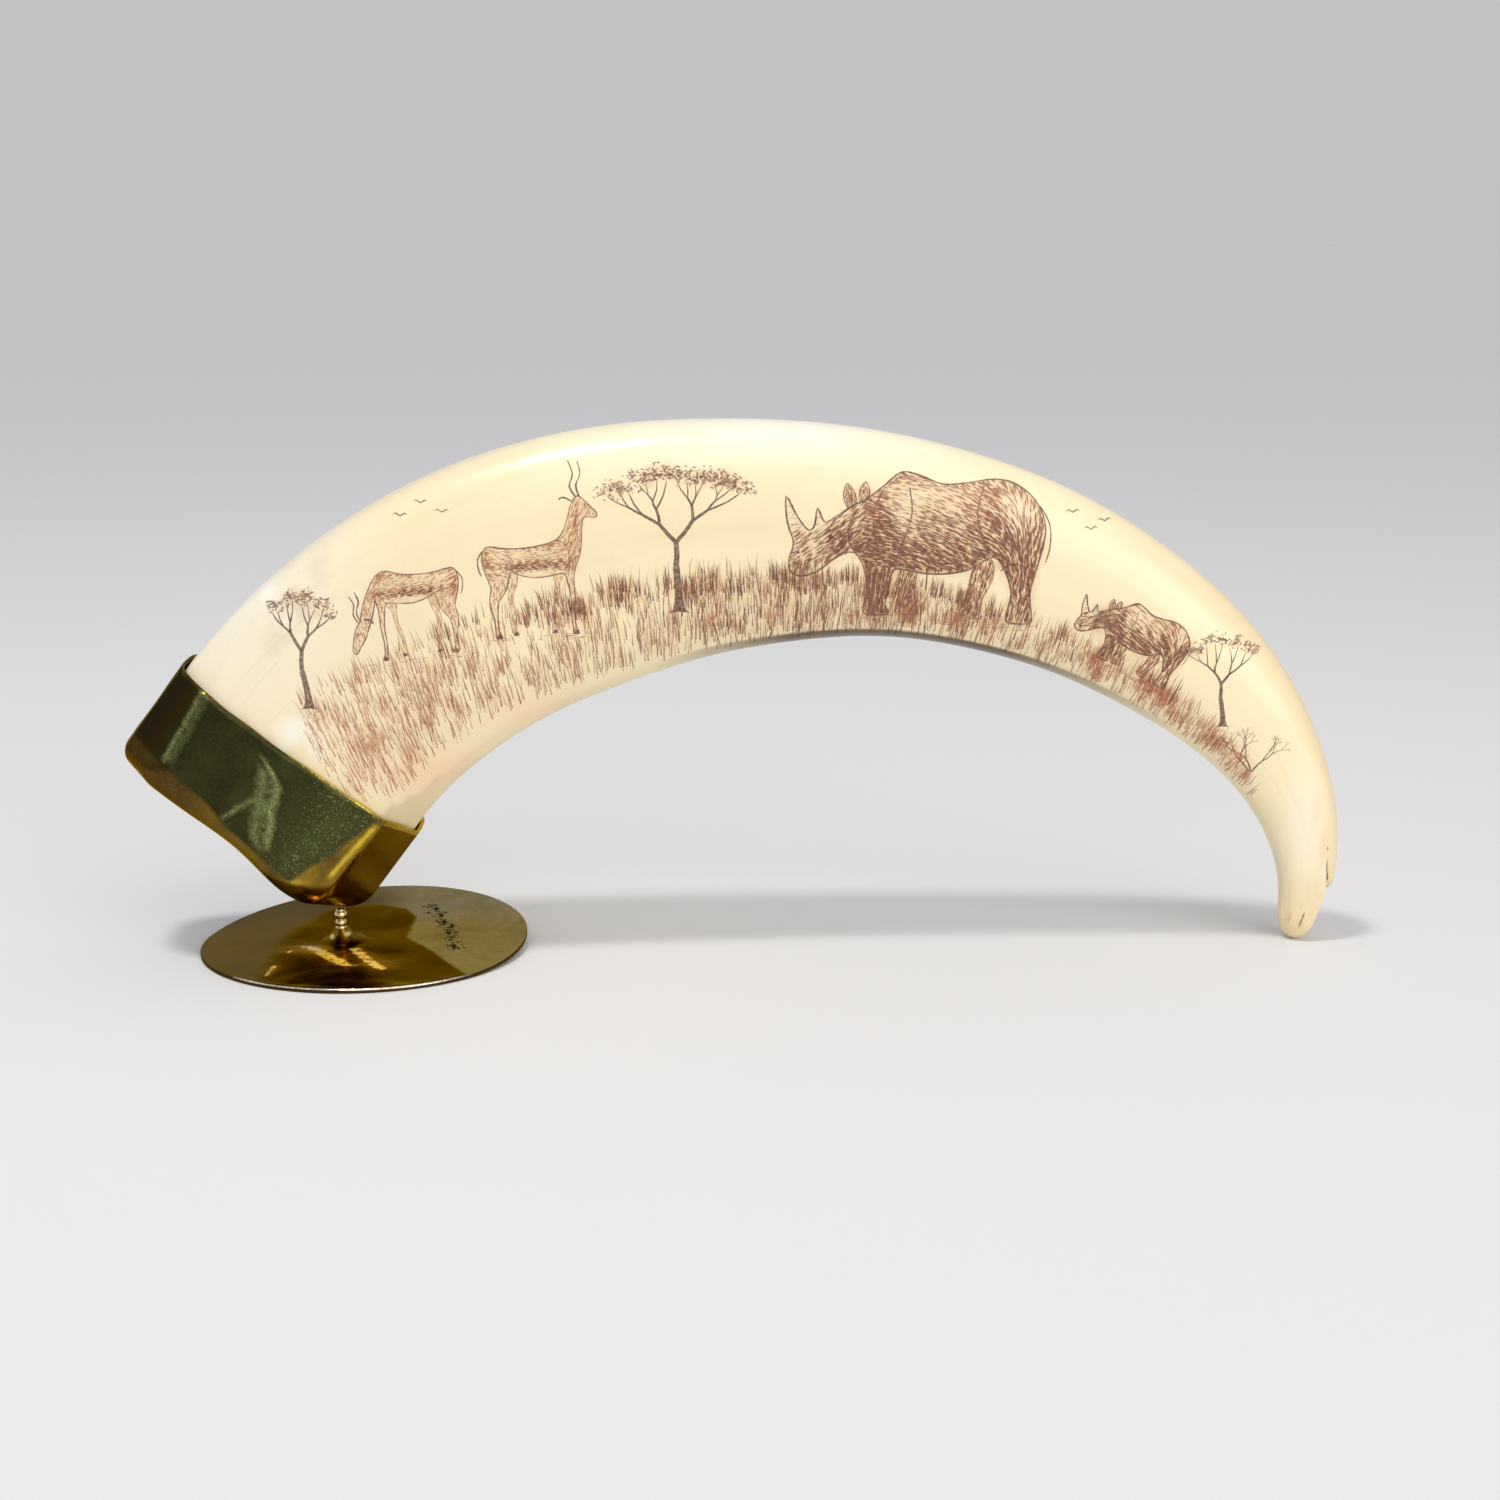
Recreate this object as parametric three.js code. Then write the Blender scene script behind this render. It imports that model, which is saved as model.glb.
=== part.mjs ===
// A scrimshaw warthog tusk, standing on a small brass foot and on its own tip.
//
// Millimetres, +Z up. The tusk arches along X with its engraved side towards -Y. The origin is on
// the ground, under the middle of the whole ornament.
//
// Four pieces: the tusk, the brass ferrule that caps its root, the beaded post soldered under the
// ferrule, and the thin brass foot. The tusk is bent from its own sizes, and the stance is then
// solved: the root is tilted until the tip touches the ground while the ferrule sits on the post.

import * as THREE from "three";

// Tusk. Each list holds values at even stations from the ferrule's rim to the tip.
const TUSK_LENGTH = 193.2;
const BEND_RADII = [66, 79, 124, 93, 89, 51, 22];
const HALF_WIDTHS = [20.3, 19.85, 19.0, 16.8, 14.65, 12.95, 10.5, 6.55, 2.75];
const HALF_DEPTHS = [10.6, 10.7, 10.5, 10.1, 9.5, 8.6, 7.3, 5.3, 2.6];
const ROOT_SQUARENESS = 3.6;
const TIP_SQUARENESS = 2.2;
const TIP_ROUNDING = 3.4;
const ROOT_ROUNDING = 3;

// Polished flats on the engraved side. Side is 1 on the outer curve and -1 on the inner one, tilt
// is how far the flat turns from that edge towards the viewer, and bites is how deep it is cut, at
// 25 even stations. Both flats run out a little way past the ferrule.
const OUTER_FLAT = { side: 1, tilt: 48, bites: [0.7, 0.55, 0.35, 0.05, ...Array(21).fill(0)] };
const INNER_FLAT = {
  side: -1,
  tilt: 40,
  bites: [1.5, 0.45, 0.15, 0.06, 0.05, 0.04, 0.02, ...Array(16).fill(0), 0.06, 0.08],
};

// Ferrule: a cap of thin sheet, its floor sagging and its front swelling towards the inner curve.
// The root reaches into it, down to a hollow above its floor.
const FERRULE_DEPTH = 16.6;
const FERRULE_WALL = 0.5;
const FERRULE_CLEARANCE = 0.3;
const FERRULE_OUTER_EDGE = 2.6;
const FERRULE_INNER_EDGE = 5;
const FERRULE_SAG = 1.8;
const FERRULE_SWELL = 0.8;
const SWELL_PLACE = -11;
const SWELL_REACH = 8;
const ROOT_HOLLOW = 4.6;
const ROOT_INSERT = FERRULE_DEPTH - ROOT_HOLLOW;

// Post: two solder beads run together, under the ferrule's lowest edge.
const BEAD_RADIUS = 0.8;
const BEAD_SPACING = 1.3;
const POST_CLEARANCE = 0.25;
const POST_ALONG = 0.4;
const POST_SIDE = -2.5;
const POST_HEIGHT = 2 * BEAD_RADIUS + BEAD_SPACING;

// Foot: a dished disc of thin sheet, raised into a neck off its centre and bent up at the back.
const FOOT_RADIUS = 24.2;
const FOOT_SHEET = 0.7;
const FOOT_DISH = 0.9;
const FOOT_RIM_FLAT = 1.6;
const NECK_RADIUS = 1.05;
const NECK_BASE_RADIUS = 4;
const NECK_HEIGHT = 2;
const NECK_FLARE = 2.4;
const NECK_OFF_CENTRE = -3.2;
const FOOT_LIFT = 2.6;
const FOOT_LIFT_HEADING = 60;
const FOOT_LIFT_START = -6;
const FOOT_LIFT_CURVE = 1.3;
const FOOT_TOP = FOOT_SHEET + FOOT_DISH + NECK_HEIGHT;

// The stance is looked for between these leans of the root, in degrees, by halving the range.
const LEAN_RANGE = [20, 80];
const LEAN_HALVINGS = 40;

// How finely the surfaces are faceted.
const TUSK_RINGS = 54;
const TIP_RINGS = 5;
const SECTION_SIDES = 40;
const CORNER_STEPS = 4;
const FOOT_SIDES = 48;
const POST_SIDES = 16;
const BEAD_STEPS = 5;
const FERRULE_FLOOR_RING = 1.5;
const FERRULE_WALL_RINGS = 3;
const NECK_RINGS = 4;
const DISH_RINGS = 5;
const SPINE_STEPS = 600;

const RIGHT_ANGLE = Math.PI / 2;
const radians = THREE.MathUtils.degToRad;

const ivory = new THREE.MeshStandardMaterial({ color: 0xf2e6bf, roughness: 0.3, metalness: 0 });
const brass = new THREE.MeshStandardMaterial({ color: 0x8a7a35, roughness: 0.28, metalness: 1 });
const solder = new THREE.MeshStandardMaterial({ color: 0xcdb98a, roughness: 0.35, metalness: 1 });

/** The value at a share of the way along even stations, on a smooth curve through them. */
function along(stations, share) {
  const last = stations.length - 1;
  const place = THREE.MathUtils.clamp(share, 0, 1) * last;
  const k = Math.min(Math.floor(place), last - 1);
  const t = place - k;
  const [here, next] = [stations[k], stations[k + 1]];
  const before = k > 0 ? stations[k - 1] : 2 * here - next;
  const after = k < last - 1 ? stations[k + 2] : 2 * next - here;
  const leave = (next - before) / 2;
  const arrive = (after - here) / 2;
  const bend = 3 * (next - here) - 2 * leave - arrive;
  const twist = 2 * (here - next) + leave + arrive;
  return here + t * (leave + t * (bend + t * twist));
}

/** A closed mesh from rings of points, with a pole in the middle of its first and last ring. */
function skin(rings) {
  const sides = rings[0].length;
  const middle = (ring) => ring.reduce((sum, p) => sum.add(p), new THREE.Vector3()).divideScalar(sides);
  const points = [middle(rings[0]), ...rings.flat(), middle(rings.at(-1))];
  const faces = [];
  const corner = (ring, side) => 1 + ring * sides + (side % sides);
  for (let side = 0; side < sides; side++) {
    faces.push(0, corner(0, side + 1), corner(0, side));
    for (let ring = 0; ring < rings.length - 1; ring++) {
      const [a, b] = [corner(ring, side), corner(ring, side + 1)];
      const [c, d] = [corner(ring + 1, side), corner(ring + 1, side + 1)];
      faces.push(a, b, d, a, d, c);
    }
    faces.push(corner(rings.length - 1, side), corner(rings.length - 1, side + 1), points.length - 1);
  }
  const geometry = new THREE.BufferGeometry().setFromPoints(points);
  geometry.setIndex(faces);
  geometry.computeVertexNormals();
  return geometry;
}

/** The tusk's centreline in its own frame: it leaves the rim along +X and curls down. */
function bendSpine() {
  const step = TUSK_LENGTH / SPINE_STEPS;
  const spine = [{ x: 0, z: 0, heading: 0 }];
  for (let i = 1; i <= SPINE_STEPS; i++) {
    const from = spine[i - 1];
    const turn = along(BEND_RADII.map((radius) => step / radius), (i - 0.5) / SPINE_STEPS);
    const heading = from.heading - turn;
    const middle = from.heading - turn / 2;
    spine.push({ x: from.x + step * Math.cos(middle), z: from.z + step * Math.sin(middle), heading });
  }
  return spine;
}

const spine = bendSpine();

/** The point and heading of the centreline at a share of its length. */
function spineAt(share) {
  const place = THREE.MathUtils.clamp(share, 0, 1) * SPINE_STEPS;
  const k = Math.min(Math.floor(place), SPINE_STEPS - 1);
  const mix = (key) => THREE.MathUtils.lerp(spine[k][key], spine[k + 1][key], place - k);
  return { x: mix("x"), z: mix("z"), heading: mix("heading") };
}

/** One corner of the tusk's cross-section, grown outwards by a margin. */
function sectionPoint(share, turn, margin) {
  const halfWidth = along(HALF_WIDTHS, share) + margin;
  const halfDepth = along(HALF_DEPTHS, share) + margin;
  const squareness = THREE.MathUtils.lerp(ROOT_SQUARENESS, TIP_SQUARENESS, share);
  const power = (value) => Math.sign(value) * Math.abs(value) ** (2 / squareness);
  const point = { across: halfWidth * power(Math.cos(turn)), depth: -halfDepth * power(Math.sin(turn)) };
  for (const flat of [OUTER_FLAT, INNER_FLAT]) {
    const [towardsEdge, towardsFront] = [Math.cos(radians(flat.tilt)), Math.sin(radians(flat.tilt))];
    const dual = squareness / (squareness - 1);
    const reach = ((halfWidth * towardsEdge) ** dual + (halfDepth * towardsFront) ** dual) ** (1 / dual);
    const limit = reach - along(flat.bites, share);
    const height = flat.side * point.across * towardsEdge - point.depth * towardsFront;
    if (height > limit) {
      point.across *= limit / height;
      point.depth *= limit / height;
    }
  }
  return point;
}

/** A ring round the tusk at a share of its length, scaled about the centreline. */
function tuskRing(share, scale) {
  const { x, z, heading } = spineAt(share);
  return sectionTurns().map((turn) => {
    const { across, depth } = sectionPoint(share, turn, 0);
    const rise = across * scale;
    return new THREE.Vector3(x - rise * Math.sin(heading), depth * scale, z + rise * Math.cos(heading));
  });
}

function sectionTurns() {
  return Array.from({ length: SECTION_SIDES }, (_, i) => (2 * Math.PI * i) / SECTION_SIDES);
}

/** A ring round the root at a depth below the rim, in the ferrule's straight stretch. */
function rootRing(depth, margin) {
  return sectionTurns().map((turn) => {
    const point = sectionPoint(0, turn, margin);
    return new THREE.Vector3(-depth, point.depth, point.across);
  });
}

/** The tusk: a rounded root end, a straight stretch in the ferrule, the arch and the blunt tip. */
function tuskGeometry() {
  const rings = [];
  for (let i = 0; i < CORNER_STEPS; i++) {
    const turn = (RIGHT_ANGLE * (i + 0.5)) / CORNER_STEPS;
    const depth = ROOT_INSERT - ROOT_ROUNDING * (1 - Math.sin(RIGHT_ANGLE - turn));
    rings.push(rootRing(depth, -ROOT_ROUNDING * (1 - Math.sin(turn))));
  }
  rings.push(rootRing(ROOT_INSERT - ROOT_ROUNDING, 0));
  const tipShare = 1 - TIP_ROUNDING / TUSK_LENGTH;
  for (let i = 0; i <= TUSK_RINGS; i++) {
    rings.push(tuskRing((tipShare * i) / TUSK_RINGS, 1));
  }
  for (let i = 1; i < TIP_RINGS; i++) {
    const turn = (RIGHT_ANGLE * i) / TIP_RINGS;
    const share = 1 - (TIP_ROUNDING * (1 - Math.sin(turn))) / TUSK_LENGTH;
    rings.push(tuskRing(share, Math.cos(turn)));
  }
  return skin(rings);
}

/** A ring of the ferrule's sheet. Place gives its depth and margin for a radius of the lower edge. */
function ferruleRing(place) {
  return sectionTurns().map((turn) => {
    const edge = THREE.MathUtils.lerp(FERRULE_INNER_EDGE, FERRULE_OUTER_EDGE, (1 + Math.cos(turn)) / 2);
    const { depth, margin } = place(edge);
    const point = sectionPoint(0, turn, margin);
    const spread = (point.across - SWELL_PLACE) / SWELL_REACH;
    const swell = Math.exp(-spread * spread) * (depth / FERRULE_DEPTH) ** 2;
    const facing = THREE.MathUtils.clamp(-point.depth / HALF_DEPTHS[0], 0, 1);
    const front = point.depth - FERRULE_SWELL * swell * facing;
    return new THREE.Vector3(-depth - FERRULE_SAG * swell, front, point.across);
  });
}

/** One face of the ferrule's sheet, from the middle of its floor, round the lower edge to the rim. */
function ferruleFace(inset) {
  const floor = FERRULE_DEPTH - inset;
  const margin = FERRULE_CLEARANCE + FERRULE_WALL - inset;
  const middle = FERRULE_FLOOR_RING - HALF_DEPTHS[0];
  const rings = [ferruleRing(() => ({ depth: floor, margin: middle }))];
  rings.push(ferruleRing(() => ({ depth: floor, margin: middle / 2 })));
  for (let i = 0; i <= CORNER_STEPS; i++) {
    const turn = (RIGHT_ANGLE * i) / CORNER_STEPS;
    rings.push(ferruleRing((edge) => ({
      depth: floor - (edge - inset) * (1 - Math.cos(turn)),
      margin: margin - (edge - inset) * (1 - Math.sin(turn)),
    })));
  }
  for (let i = FERRULE_WALL_RINGS - 1; i >= 0; i--) {
    const share = i / FERRULE_WALL_RINGS;
    rings.push(ferruleRing((edge) => ({ depth: (FERRULE_DEPTH - edge) * share, margin })));
  }
  return rings;
}

function ferruleGeometry() {
  return skin([...ferruleFace(0), ...ferruleFace(FERRULE_WALL).reverse()]);
}

/** The post's outline, from the axis at its foot to the axis at its top. */
function postGeometry() {
  const waist = Math.acos(Math.min(BEAD_SPACING / 2 / BEAD_RADIUS, 1));
  const outline = [new THREE.Vector2(0, 0)];
  for (const [middle, from, to] of [
    [BEAD_RADIUS, -RIGHT_ANGLE / 2, RIGHT_ANGLE - waist],
    [BEAD_RADIUS + BEAD_SPACING, waist - RIGHT_ANGLE, RIGHT_ANGLE],
  ]) {
    for (let i = 0; i < BEAD_STEPS; i++) {
      const turn = THREE.MathUtils.lerp(from, to, i / BEAD_STEPS);
      outline.push(new THREE.Vector2(BEAD_RADIUS * Math.cos(turn), middle + BEAD_RADIUS * Math.sin(turn)));
    }
  }
  outline.push(new THREE.Vector2(0, POST_HEIGHT));
  return new THREE.LatheGeometry(outline, POST_SIDES).rotateX(RIGHT_ANGLE);
}

/** How far the bent-up side of the foot rises at a place on the disc. */
function footLift(x, y) {
  const heading = radians(FOOT_LIFT_HEADING);
  const out = x * Math.cos(heading) + y * Math.sin(heading);
  const share = Math.max((out - FOOT_LIFT_START) / (FOOT_RADIUS - FOOT_LIFT_START), 0);
  return FOOT_LIFT * share ** FOOT_LIFT_CURVE;
}

/** A ring of the foot, its middle moving from the disc's centre to the neck as it gets smaller. */
function footRing(radius, height) {
  const pull = 1 - radius / FOOT_RADIUS;
  const ring = [];
  for (let i = 0; i < FOOT_SIDES; i++) {
    const turn = -(2 * Math.PI * i) / FOOT_SIDES;
    const x = NECK_OFF_CENTRE * pull + radius * Math.cos(turn);
    const y = POST_SIDE * pull + radius * Math.sin(turn);
    ring.push(new THREE.Vector3(x, y, height + footLift(x, y) * liftShare(radius)));
  }
  return ring;
}

/** The lift fades out in the neck, so that its top stays level. */
function liftShare(radius) {
  return THREE.MathUtils.smoothstep(radius, NECK_RADIUS, NECK_BASE_RADIUS);
}

/** Height of the sheet's underside above the ground, at a radius. */
function dishHeight(radius) {
  const share = Math.min(radius / (FOOT_RADIUS - FOOT_RIM_FLAT), 1);
  return FOOT_DISH * (1 - share * share);
}

function footGeometry() {
  const flatEdge = FOOT_RADIUS - FOOT_RIM_FLAT;
  const between = (from, to, count) =>
    Array.from({ length: count }, (_, i) => THREE.MathUtils.lerp(from, to, (i + 1) / (count + 1)));
  const radii = between(NECK_BASE_RADIUS, flatEdge, DISH_RINGS);
  const rings = [footRing(NECK_RADIUS / 2, FOOT_TOP), footRing(NECK_RADIUS, FOOT_TOP)];
  for (const radius of between(NECK_RADIUS, NECK_BASE_RADIUS, NECK_RINGS)) {
    const flare = ((NECK_BASE_RADIUS - radius) / (NECK_BASE_RADIUS - NECK_RADIUS)) ** NECK_FLARE;
    rings.push(footRing(radius, THREE.MathUtils.lerp(dishHeight(radius) + FOOT_SHEET, FOOT_TOP, flare)));
  }
  rings.push(footRing(NECK_BASE_RADIUS, dishHeight(NECK_BASE_RADIUS) + FOOT_SHEET));
  for (const radius of [...radii, flatEdge, FOOT_RADIUS]) {
    rings.push(footRing(radius, dishHeight(radius) + FOOT_SHEET));
  }
  for (const radius of [FOOT_RADIUS, flatEdge, ...radii.toReversed(), NECK_BASE_RADIUS]) {
    rings.push(footRing(radius, dishHeight(radius)));
  }
  rings.push(footRing(NECK_RADIUS, dishHeight(0)));
  return skin(rings);
}

/** The lowest point of a geometry once the tusk's root leans back by an angle. */
function lowestPoint(geometry, lean) {
  const turned = geometry.clone().rotateY(-lean).getAttribute("position");
  let lowest = new THREE.Vector3(0, 0, Infinity);
  for (let i = 0; i < turned.count; i++) {
    const point = new THREE.Vector3().fromBufferAttribute(turned, i);
    if (point.z < lowest.z) lowest = point;
  }
  return lowest;
}

/** The lean of the root that puts the tip on the ground and the ferrule just over the post. */
function solveLean(tusk, ferrule) {
  const wanted = FOOT_TOP + POST_HEIGHT + POST_CLEARANCE;
  let [low, high] = LEAN_RANGE.map(radians);
  for (let i = 0; i < LEAN_HALVINGS; i++) {
    const lean = (low + high) / 2;
    const clear = lowestPoint(ferrule, lean).z - lowestPoint(tusk, lean).z;
    if (clear > wanted) low = lean;
    else high = lean;
  }
  return (low + high) / 2;
}

function piece(name, geometry, material) {
  const mesh = new THREE.Mesh(geometry, material);
  mesh.name = name;
  return mesh;
}

const tusk = piece("tusk", tuskGeometry(), ivory);
const ferrule = piece("ferrule", ferruleGeometry(), brass);
const post = piece("post", postGeometry(), solder);
const foot = piece("foot", footGeometry(), brass);

const lean = solveLean(tusk.geometry, ferrule.geometry);
const tip = lowestPoint(tusk.geometry, lean);
const heel = lowestPoint(ferrule.geometry, lean);

const capped = new THREE.Group();
capped.add(tusk, ferrule);
capped.rotation.y = -lean;
capped.position.z = -tip.z;
post.position.set(heel.x + POST_ALONG, POST_SIDE, FOOT_TOP);
foot.position.set(post.position.x - NECK_OFF_CENTRE, 0, 0);

const ornament = new THREE.Group();
ornament.add(capped, post, foot);
ornament.updateMatrixWorld(true);
const bounds = new THREE.Box3().setFromObject(ornament, true);
const middle = bounds.getCenter(new THREE.Vector3());
ornament.position.set(-middle.x, -middle.y, -bounds.min.z);
ornament.updateMatrixWorld(true);

export default ornament;
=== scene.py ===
"""The looks of a scrimshaw warthog tusk that stands on a small brass foot and on its own tip.

The tusk's engraving is drawn here line by line: every cut of the needle is a face of its own in
the polished surface, with ink in it. The brass cap, the solder beads and the dished foot are
modelled round the solids that they replace.
"""

from math import asin, cos, exp, hypot, pi, radians, sin, sqrt, tan
from random import choice, gauss, random, seed, triangular, uniform

import bpy
import numpy as np
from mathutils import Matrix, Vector
from mathutils.geometry import delaunay_2d_cdt


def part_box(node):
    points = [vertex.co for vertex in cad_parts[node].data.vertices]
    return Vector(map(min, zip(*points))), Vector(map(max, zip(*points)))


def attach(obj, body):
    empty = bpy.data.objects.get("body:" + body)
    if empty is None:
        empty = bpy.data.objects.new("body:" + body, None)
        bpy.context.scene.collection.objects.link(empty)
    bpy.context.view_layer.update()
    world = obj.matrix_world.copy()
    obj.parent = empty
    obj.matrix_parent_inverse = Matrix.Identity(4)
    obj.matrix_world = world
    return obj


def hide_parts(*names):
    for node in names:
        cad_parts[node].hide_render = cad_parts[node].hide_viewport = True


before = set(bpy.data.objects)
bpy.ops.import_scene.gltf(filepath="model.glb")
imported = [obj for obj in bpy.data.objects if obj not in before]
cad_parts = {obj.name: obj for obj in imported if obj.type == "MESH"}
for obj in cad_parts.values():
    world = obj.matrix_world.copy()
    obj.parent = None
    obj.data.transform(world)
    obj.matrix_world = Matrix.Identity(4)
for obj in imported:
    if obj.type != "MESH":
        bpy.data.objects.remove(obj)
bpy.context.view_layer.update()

MM = 0.001
BODY = "root"

# The tusk, in millimetres. Each list holds values at even stations from the cap's rim to the tip.
TUSK_LENGTH = 193.2
BEND_RADII = (66, 79, 124, 93, 89, 51, 22)
HALF_WIDTHS = (20.3, 19.85, 19.0, 16.8, 14.65, 12.95, 10.5, 6.55, 2.75)
HALF_DEPTHS = (10.6, 10.7, 10.5, 10.1, 9.5, 8.6, 7.3, 5.3, 2.6)
ROOT_SQUARENESS = 3.6
TIP_SQUARENESS = 2.2
TIP_ROUNDING = 3.4
ROOT_INSERT = 12
ROOT_ROUNDING = 3
LEAN = radians(53.034)
SPINE_STEPS = 600
# Polished flats: towards the outer (1) or inner (-1) edge, their tilt, and how deep they are cut.
FLATS = (
    (1, radians(48), [0.7, 0.55, 0.35, 0.05] + [0] * 21),
    (-1, radians(40), [1.5, 0.45, 0.15, 0.06, 0.05, 0.04, 0.02] + [0] * 16 + [0.06, 0.08]),
)

# The brass cap round the root.
FERRULE_DEPTH = 16.6
FERRULE_WALL = 0.5
FERRULE_CLEARANCE = 0.3
FERRULE_OUTER_EDGE = 2.6
FERRULE_INNER_EDGE = 5
FERRULE_SAG = 1.8
FERRULE_SWELL = 0.8
SWELL_PLACE = -11
SWELL_REACH = 8

# The foot.
FOOT_RADIUS = 24.2
FOOT_SHEET = 0.7
FOOT_DISH = 0.9
FOOT_RIM_FLAT = 1.6
NECK_RADIUS = 1.05
NECK_BASE_RADIUS = 4
NECK_HEIGHT = 2
NECK_FLARE = 2.4
NECK_OFF_CENTRE = -3.2
NECK_SIDE = -2.5
FOOT_LIFT = 2.6
FOOT_LIFT_HEADING = radians(60)
FOOT_LIFT_START = -6
FOOT_LIFT_CURVE = 1.3


def along(stations, share):
    """Values at shares of the way along even stations, on a smooth curve through them."""
    stations = np.asarray(stations, float)
    first, last = 2 * stations[0] - stations[1], 2 * stations[-1] - stations[-2]
    knots = np.concatenate([[first], stations, [last]])
    place = np.clip(share, 0, 1) * (len(stations) - 1)
    k = np.minimum(np.asarray(place, int), len(stations) - 2)
    t = place - k
    before, here, following, after = knots[k], knots[k + 1], knots[k + 2], knots[k + 3]
    leave, arrive = (following - before) / 2, (after - here) / 2
    bend = 3 * (following - here) - 2 * leave - arrive
    twist = 2 * (here - following) + leave + arrive
    return here + t * (leave + t * (bend + t * twist))


def bend_spine():
    """The tusk's centreline as rows of x, z and heading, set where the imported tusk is."""
    step = TUSK_LENGTH / SPINE_STEPS
    steps = (np.arange(SPINE_STEPS) + 0.5) / SPINE_STEPS
    turns = along([step / radius for radius in BEND_RADII], steps)
    heading = LEAN - np.concatenate([[0], np.cumsum(turns)])
    middle = heading[:-1] - turns / 2
    x = np.concatenate([[0], np.cumsum(step * np.cos(middle))])
    z = np.concatenate([[0], np.cumsum(step * np.sin(middle))])
    half_width = along(HALF_WIDTHS, np.linspace(0, 1, SPINE_STEPS + 1))
    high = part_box("tusk")[1] / MM
    x += high.x - (x - half_width * np.sin(heading)).max()
    z += high.z - (z + half_width * np.cos(heading)).max()
    return x, z, heading


SPINE = bend_spine()


def spine_at(distance):
    place = np.clip(np.asarray(distance, float) / TUSK_LENGTH, 0, 1) * SPINE_STEPS
    return [np.interp(place, np.arange(SPINE_STEPS + 1), row) for row in SPINE]


def section(share, turn, margin=0.0):
    """Across and depth of the cross-section. Turn 0 faces the viewer, a right angle is the outer edge."""
    half_width = along(HALF_WIDTHS, share) + margin
    half_depth = along(HALF_DEPTHS, share) + margin
    squareness = ROOT_SQUARENESS + (TIP_SQUARENESS - ROOT_SQUARENESS) * share
    sine = np.sin(turn)
    across = half_width * sine
    depth = half_depth * np.maximum(1 - np.abs(sine) ** squareness, 0) ** (1 / squareness)
    depth = np.where(np.cos(turn) > 0, -depth, depth)
    dual = squareness / (squareness - 1)
    for side, tilt, bites in FLATS:
        edgewards, frontwards = cos(tilt), sin(tilt)
        reach = ((half_width * edgewards) ** dual + (half_depth * frontwards) ** dual) ** (1 / dual)
        flat = (side * across * edgewards - reach + along(bites, share)) / frontwards
        depth = np.where(np.cos(turn) > 0, np.maximum(depth, np.minimum(flat, 0)), depth)
    return across, depth


# Wear in the tusk's surface, in millimetres and radians. The groove near the tip is given by distance
# and share of the half width.
GROOVE_PATH = ((168.0, 0.45), (172.3, 0.5), (176.9, 0.57), (180.4, 0.615), (184.0, 0.77))
GROOVE_FROM, GROOVE_TO = GROOVE_PATH[0][0], GROOVE_PATH[-1][0]
GROOVE_DEPTH = 0.24
GROOVE_WIDTH = 1.1
SPLIT_FROM = 179.6
SPLIT_DEPTH = 0.8
SPLIT_WIDTH = 0.34
CHIP_TURN = asin(GROOVE_PATH[-1][1])
CHIP_END = 2.3
CHIP_DEPTH = 0.65
CHIP_MORE = 0.95
RIPPLE = 0.07
RIPPLE_LENGTHS = (6.3, 17)
FLUTE = 0.06
FLUTES = 15
FLUTE_SWAY = 21


def groove_turn(distance):
    places = np.array(GROOVE_PATH)
    return np.arcsin(np.interp(distance, places[:, 0], places[:, 1]))


def ramp(value, start, end):
    """0 before the start, 1 past the end and even between them."""
    return np.clip((value - start) / (end - start), 0, 1)


def dent(distance, turn, radius):
    """How far wear has sunk the surface: a shallow groove that ends in a split near the tip, the facet
    that is chipped off past the split sliver's end, and soft ripples and flutes."""
    aside = (turn - groove_turn(distance)) * radius
    before_chip = distance <= GROOVE_TO + 0.2
    groove = ramp(distance, GROOVE_FROM, GROOVE_FROM + (GROOVE_TO - GROOVE_FROM) / 1.6)
    groove = GROOVE_DEPTH * groove * np.exp(-(aside / GROOVE_WIDTH) ** 2) * before_chip
    split = ramp(distance, SPLIT_FROM, GROOVE_TO)
    split = SPLIT_DEPTH * split * np.exp(-(aside / SPLIT_WIDTH) ** 2) * before_chip
    chip = ramp(turn, CHIP_TURN - 0.25, CHIP_TURN + 0.25) * ramp(turn, CHIP_END, CHIP_END - 0.7)
    chip = chip * (CHIP_DEPTH + CHIP_MORE * ramp(distance, GROOVE_TO, TUSK_LENGTH))
    chip = chip * ramp(distance, GROOVE_TO, GROOVE_TO + 0.4)
    short, long = RIPPLE_LENGTHS
    ripple = RIPPLE * (1 + np.sin(distance / short + 2.2 * np.sin(turn)) * np.sin(distance / long + turn * 2))
    flute = FLUTE * (1 + np.cos(turn * FLUTES + np.sin(distance / FLUTE_SWAY))) * np.clip(-np.cos(turn), 0, 1)
    return groove + split + chip + ripple + flute


def skin(distance, turn):
    """Points of the tusk's surface in millimetres."""
    share = np.clip(distance / TUSK_LENGTH, 0, 1)
    inset = ramp(-distance, ROOT_INSERT - ROOT_ROUNDING, ROOT_INSERT)
    inset = ROOT_ROUNDING * (1 - np.sqrt(1 - inset ** 2))
    across, depth = section(share, turn, -inset)
    into_tip = ramp(distance, TUSK_LENGTH - TIP_ROUNDING, TUSK_LENGTH)
    radius = np.hypot(across, depth)
    shrink = np.sqrt(1 - into_tip ** 2) * (1 - dent(distance, turn, radius) / np.maximum(radius, 1))
    x, z, heading = spine_at(distance)
    back = np.minimum(distance, 0)
    x, z = x + back * np.cos(heading), z + back * np.sin(heading)
    rise = across * shrink
    return np.stack([x - rise * np.sin(heading), depth * shrink, z + rise * np.cos(heading)], -1)


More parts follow.
